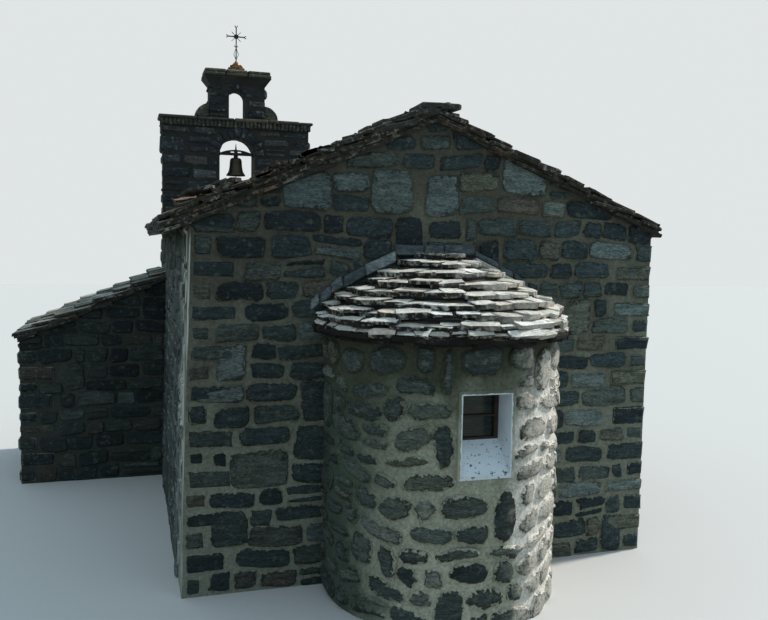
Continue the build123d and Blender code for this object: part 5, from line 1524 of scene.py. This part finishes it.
def strap(heap, x0, x1, y, z):
    """A strap from its hinge at x0 to its point at x1, lying on the face at y."""
    way = 1 if x1 > x0 else -1
    half = STRAP_WIDTH / 2
    parts = [(start, end, half * near, half * far) for start, end, near, far in STRAP_PARTS]
    for start, end, near, far in parts + [(0.94, 1.0, half * 0.95, STRAP_TIP)]:
        iron_block(heap, grid(lambda i, j, up: (x0 + (x1 - x0) * (start, end)[i],
                                                y - STRAP_SUNK + j * (STRAP_THICK + STRAP_SUNK),
                                                z + (near, far)[i] * (2 * up - 1))), 0.002)
    k0, k1 = sorted((x0 - way * 0.02, x0 + way * 0.012))
    add_box(heap, door_rng, (k0, y - 0.004, z - half * 1.3), (k1, y + 0.02, z + half * 1.3), 0.5, 0.006, 0.0)


def ring_handle(heap, x, y, z):
    """A plate with a boss and a ring that hangs from it, turned as a chain of short blocks."""
    plate_low, plate_high = (x - 0.035, y - 0.002, z - 0.07), (x + 0.035, y + 0.005, z + 0.07)
    add_box(heap, door_rng, plate_low, plate_high, 0.5, 0.008, 0.001)
    add_box(heap, door_rng, (x - 0.014, y, z + 0.02), (x + 0.014, y + 0.028, z + 0.048), 0.5, 0.008, 0.0)
    radii = RING_RADIUS - RING_BAR, RING_RADIUS + RING_BAR
    for step in range(RING_STEPS):
        turns = 2 * pi * step / RING_STEPS, 2 * pi * (step + 1.02) / RING_STEPS
        iron_block(heap, grid(lambda i, j, up: (x + radii[up] * sin(turns[i]), y + (0.008, 0.021)[j],
                                                z - 0.016 + radii[up] * cos(turns[i]))), 0.003)


def board_door(name, node, low, high, boards, hinge):
    """hinge is the side of the hinges: -1 or 1 along x."""
    wood, metal, nail_lines = Heap(), Heap(), []
    y, wide, tall = high.y, high.x - low.x, high.z - low.z
    width, middle_z = wide / boards, low.z + tall * 0.5
    for number in range(boards):
        x0 = low.x + number * width
        face = y - door_rng.uniform(0.0, 0.004)
        add_box(wood, door_rng, (x0 + BOARD_GAP, y - BOARD_THICK, low.z),
                (x0 + width - BOARD_GAP, face, high.z), door_rng.random(), 0.014, 0.0008)
    for share in (0.12, 0.5, 0.88):
        z = low.z + tall * share
        add_box(wood, door_rng, (low.x + 0.03, low.y, z - LEDGE_WIDTH / 2),
                (high.x - 0.03, y - BOARD_THICK, z + LEDGE_WIDTH / 2), door_rng.random(), 0.012, 0.0)
        if share == 0.5:
            continue
        x0, x1 = (low.x, high.x) if hinge < 0 else (high.x, low.x)
        x0, x1 = x0 + (x1 - x0) * 0.03, x0 + (x1 - x0) * 0.86
        strap(metal, x0, x1, y, z)
        ends = [(x0 + (x1 - x0) * part, y + STRAP_THICK, z) for part in (0.06, 0.84)]
        nail_lines.append([(end, (0, -1, 0), pi / 2, (0.019, 0.019, 0.012)) for end in ends])
    for z in (middle_z - 0.035, middle_z + 0.035):
        ends = [(x, y - 0.002, z) for x in (low.x + width / 2, high.x - width / 2 + 0.001)]
        nail_lines.append([(end, (0, -1, 0), pi / 2, (0.014, 0.014, 0.008)) for end in ends])
    ring_handle(metal, low.x + wide * (0.5 + 0.38 * -hinge), y, middle_z)
    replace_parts(wood.piece(name + "_boards", door_wood, "door_wood"), node)
    metal.piece(name + "_ironwork", iron, "wrought_iron")
    lay_slabs(name + "_nails", nail_lines, iron, "wrought_iron", Spacing=width, Seed=92, Slide=0.003,
              Turn=0.4, Nod=0.06, Lift=0.0, Uneven=0.12, Variants=nails)


nails = kinds_to_lay("nail_heads", [nail_head()])
board_door("front_door", "front_door", *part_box("front_door"), 6, -1)
board_door("side_door", "annex_door", *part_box("annex_door"), 5, 1)

# %% [markdown]
# The foot of the cross is wedged with a little heap of field stones, orange with lichen. They are blocks in
# rings that get smaller upwards, each turned its own way round the heap's axis.
# %% Heap at the foot of the cross
FINIAL_ROWS = 5
finial_low, finial_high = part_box("finial_stone")
finial_half, finial_tall = (finial_high.x - finial_low.x) / 2, finial_high.z - finial_low.z
heap_rng = np.random.default_rng(81)
heap = Heap()
for row in range(FINIAL_ROWS):
    heights = [min(finial_low.z + finial_tall * step / FINIAL_ROWS, finial_high.z) for step in (row, row + 1)]
    reach = finial_half * (1 - (row + 0.15) / FINIAL_ROWS)
    count = max(8 - 2 * row, 1)
    half = reach * sin(pi / count) * 1.1 if count > 2 else reach * 0.6
    for number in range(count):
        turn = 2 * pi * (number + heap_rng.uniform(0.2, 0.8)) / count + row
        across, outward = Vector((-sin(turn), cos(turn), 0)), Vector((cos(turn), sin(turn), 0))

        def stone_corner(i, j, up):
            start, end = (-reach, reach) if count == 1 else (reach * 0.2, reach * heap_rng.uniform(0.85, 1.0))
            place = across * (half * (2 * i - 1)) + outward * (end if j else start)
            return BELL_X + place.x, MIDDLE_Y + place.y, heights[up]

        add_block(heap, heap_rng, grid(stone_corner), heap_rng.random(), 0.03, 0.008)
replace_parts(heap.piece("finial_heap", lichen_stone, "bell_stone"), "finial_stone")

# %% [markdown]
# A bell founder sweeps the clay mould with a board cut to the bell's outline, so a turned outline is the
# honest way to make one. It runs up the outside, with raised bands at the sound bow and the shoulder, and
# back down the inside. The shading is smooth, and inside the crown two lugs hold the clapper's pin.
# %% Bell
BELL_OUTSIDE = (
    (0.985, 0.0), (1.0, 0.02), (0.985, 0.05), (0.905, 0.10), (0.912, 0.115), (0.865, 0.13), (0.80, 0.19),
    (0.81, 0.205), (0.775, 0.22), (0.715, 0.33), (0.672, 0.46), (0.645, 0.60), (0.627, 0.74), (0.64, 0.755),
    (0.624, 0.77), (0.612, 0.83), (0.625, 0.845), (0.60, 0.865), (0.565, 0.92), (0.48, 0.968), (0.36, 0.992),
    (0.2, 1.0))
BELL_INSIDE = (
    (0.1, 0.955), (0.27, 0.95), (0.40, 0.90), (0.475, 0.82), (0.51, 0.70), (0.552, 0.55), (0.59, 0.42),
    (0.632, 0.32), (0.722, 0.2), (0.802, 0.1), (0.88, 0.0))
BELL_SIDES, EYE_RADIUS = 40, 0.016
PIN_SIDES, PIN_RADIUS, PIN_HALF = 8, 0.006, 0.018
bell_low, bell_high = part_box("bell")
bell_reach, bell_tall = (bell_high.x - bell_low.x) / 2, bell_high.z - bell_low.z
middle = (bell_low + bell_high) / 2
outline = BELL_OUTSIDE + BELL_INSIDE
points = [(middle.x, middle.y, bell_high.z), (middle.x, middle.y, bell_low.z + BELL_INSIDE[0][1] * bell_tall)]
for (share, rise), side in product(outline, range(BELL_SIDES)):
    turn = 2 * pi * side / BELL_SIDES
    points.append((middle.x + bell_reach * share * cos(turn), middle.y + bell_reach * share * sin(turn),
                   bell_low.z + rise * bell_tall))
faces = []
for ring, side in product(range(len(outline)), range(BELL_SIDES)):
    after = (ring + 1) % len(outline)
    here, there, above, above_there = (2 + row * BELL_SIDES + place % BELL_SIDES
                                       for row, place in product((ring, after), (side, side + 1)))
    if ring == len(BELL_OUTSIDE) - 1:
        faces += [(here, there, 0), (above_there, above, 1)]
    else:
        faces.append((here, there, above_there, above))
heap = Heap()
heap.add(points, faces, 0.5, [0.0] * len(points))
pin_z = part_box("clapper")[1].z - EYE_RADIUS
for x0, x1 in ((-0.016, -0.008), (0.008, 0.016)):
    add_box(heap, door_rng, (middle.x + x0, middle.y - EYE_RADIUS, pin_z - EYE_RADIUS),
            (middle.x + x1, middle.y + EYE_RADIUS, bell_high.z - 0.007), 0.5, 0.003, 0.0)
turns = [2 * pi * step / PIN_SIDES for step in range(PIN_SIDES)]
pin = [(middle.x + x, middle.y + PIN_RADIUS * cos(turn), pin_z + PIN_RADIUS * sin(turn))
       for x in (-PIN_HALF, PIN_HALF) for turn in turns]
pin_faces = [(step, (step + 1) % PIN_SIDES, (step + 1) % PIN_SIDES + PIN_SIDES, step + PIN_SIDES)
             for step in range(PIN_SIDES)]
pin_faces += [tuple(reversed(range(PIN_SIDES))), tuple(range(PIN_SIDES, 2 * PIN_SIDES))]
heap.add(pin, pin_faces, 0.5, [0.0] * len(pin))
casting = heap.piece("bell_casting", bronze, "bell_bronze", "bell")
smooth = [number < len(faces) for number in range(len(casting.data.polygons))]
casting.data.polygons.foreach_set("use_smooth", smooth)
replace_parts(casting, "bell")

# %% [markdown]
# The chapel stands on a plain pale floor in soft light. The sun comes from the right and a little from
# behind, as in the photograph, so the gable is in the shade, and its edge is softened as if by a thin
# cloud. The sky that the camera, gloss and glass see is a pale wall, which does not add light of its own.
# %% Floor and light
FLOOR_REACH = 60.0
SUN_TURN, SUN_RISE, SUN_BLUR, SUN_STRENGTH = radians(8), radians(46), radians(5), 3.4
SKY_LOW, SKY_HIGH = 0.4, 0.95


def pale_floor(pen):
    seen = pen.put("ShaderNodeLightPath").outputs["Is Camera Ray"]
    return {"Base Color": pen.mix(seen, (0.26, 0.27, 0.25), (0.54, 0.53, 0.52)), "Roughness": 0.9}


floor_mesh = bpy.data.meshes.new("floor")
corners = [(x * FLOOR_REACH, y * FLOOR_REACH, 0.0) for x, y in ((-1, -1), (1, -1), (1, 1), (-1, 1))]
floor_mesh.from_pydata(corners, [], [(0, 1, 2, 3)])
floor_mesh.materials.append(finish_from("pale_floor", pale_floor))
floor = add_object("floor", floor_mesh)
floor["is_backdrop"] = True

sun = add_object("sun", bpy.data.lights.new("sun", "SUN"))
sun.data.energy = SUN_STRENGTH
sun.data.angle = SUN_BLUR
sun.data.color = (1.0, 0.955, 0.88)
sunward = Vector((cos(SUN_RISE) * cos(SUN_TURN), cos(SUN_RISE) * sin(SUN_TURN), sin(SUN_RISE)))
sun.rotation_euler = sunward.to_track_quat("Z", "Y").to_euler()

world = bpy.data.worlds.new("sky")
world.use_nodes = True
bpy.context.scene.world = world
world.node_tree.nodes.clear()
pen = Pen(world.node_tree)
rays = pen.put("ShaderNodeLightPath").outputs
seen = pen.add(rays["Is Camera Ray"], rays["Is Glossy Ray"])
seen = pen.maths("ADD", seen, rays["Is Transmission Ray"], clamp=True)
towards = pen.put("ShaderNodeSeparateXYZ", {0: pen.put("ShaderNodeTexCoord").outputs["Generated"]}).outputs[2]
strength = pen.spread(towards, 0.0, 1.0, SKY_LOW, SKY_HIGH)
ambient = pen.put("ShaderNodeBackground", {"Color": (0.66, 0.87, 1.0, 1), "Strength": strength})
backdrop = pen.put("ShaderNodeBackground", {"Color": (0.745, 0.78, 0.79, 1), "Strength": 1.0})
either = pen.put("ShaderNodeMixShader", {0: seen, 1: ambient.outputs[0], 2: backdrop.outputs[0]})
pen.put("ShaderNodeOutputWorld", {"Surface": either.outputs[0]})
print("sun from", [round(v, 2) for v in sunward])

# %% [markdown]
# The dressed chapel's box is printed.
# %% Box of the dressed chapel
low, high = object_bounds()
print("dressed box", [round(v, 3) for v in low], [round(v, 3) for v in high])
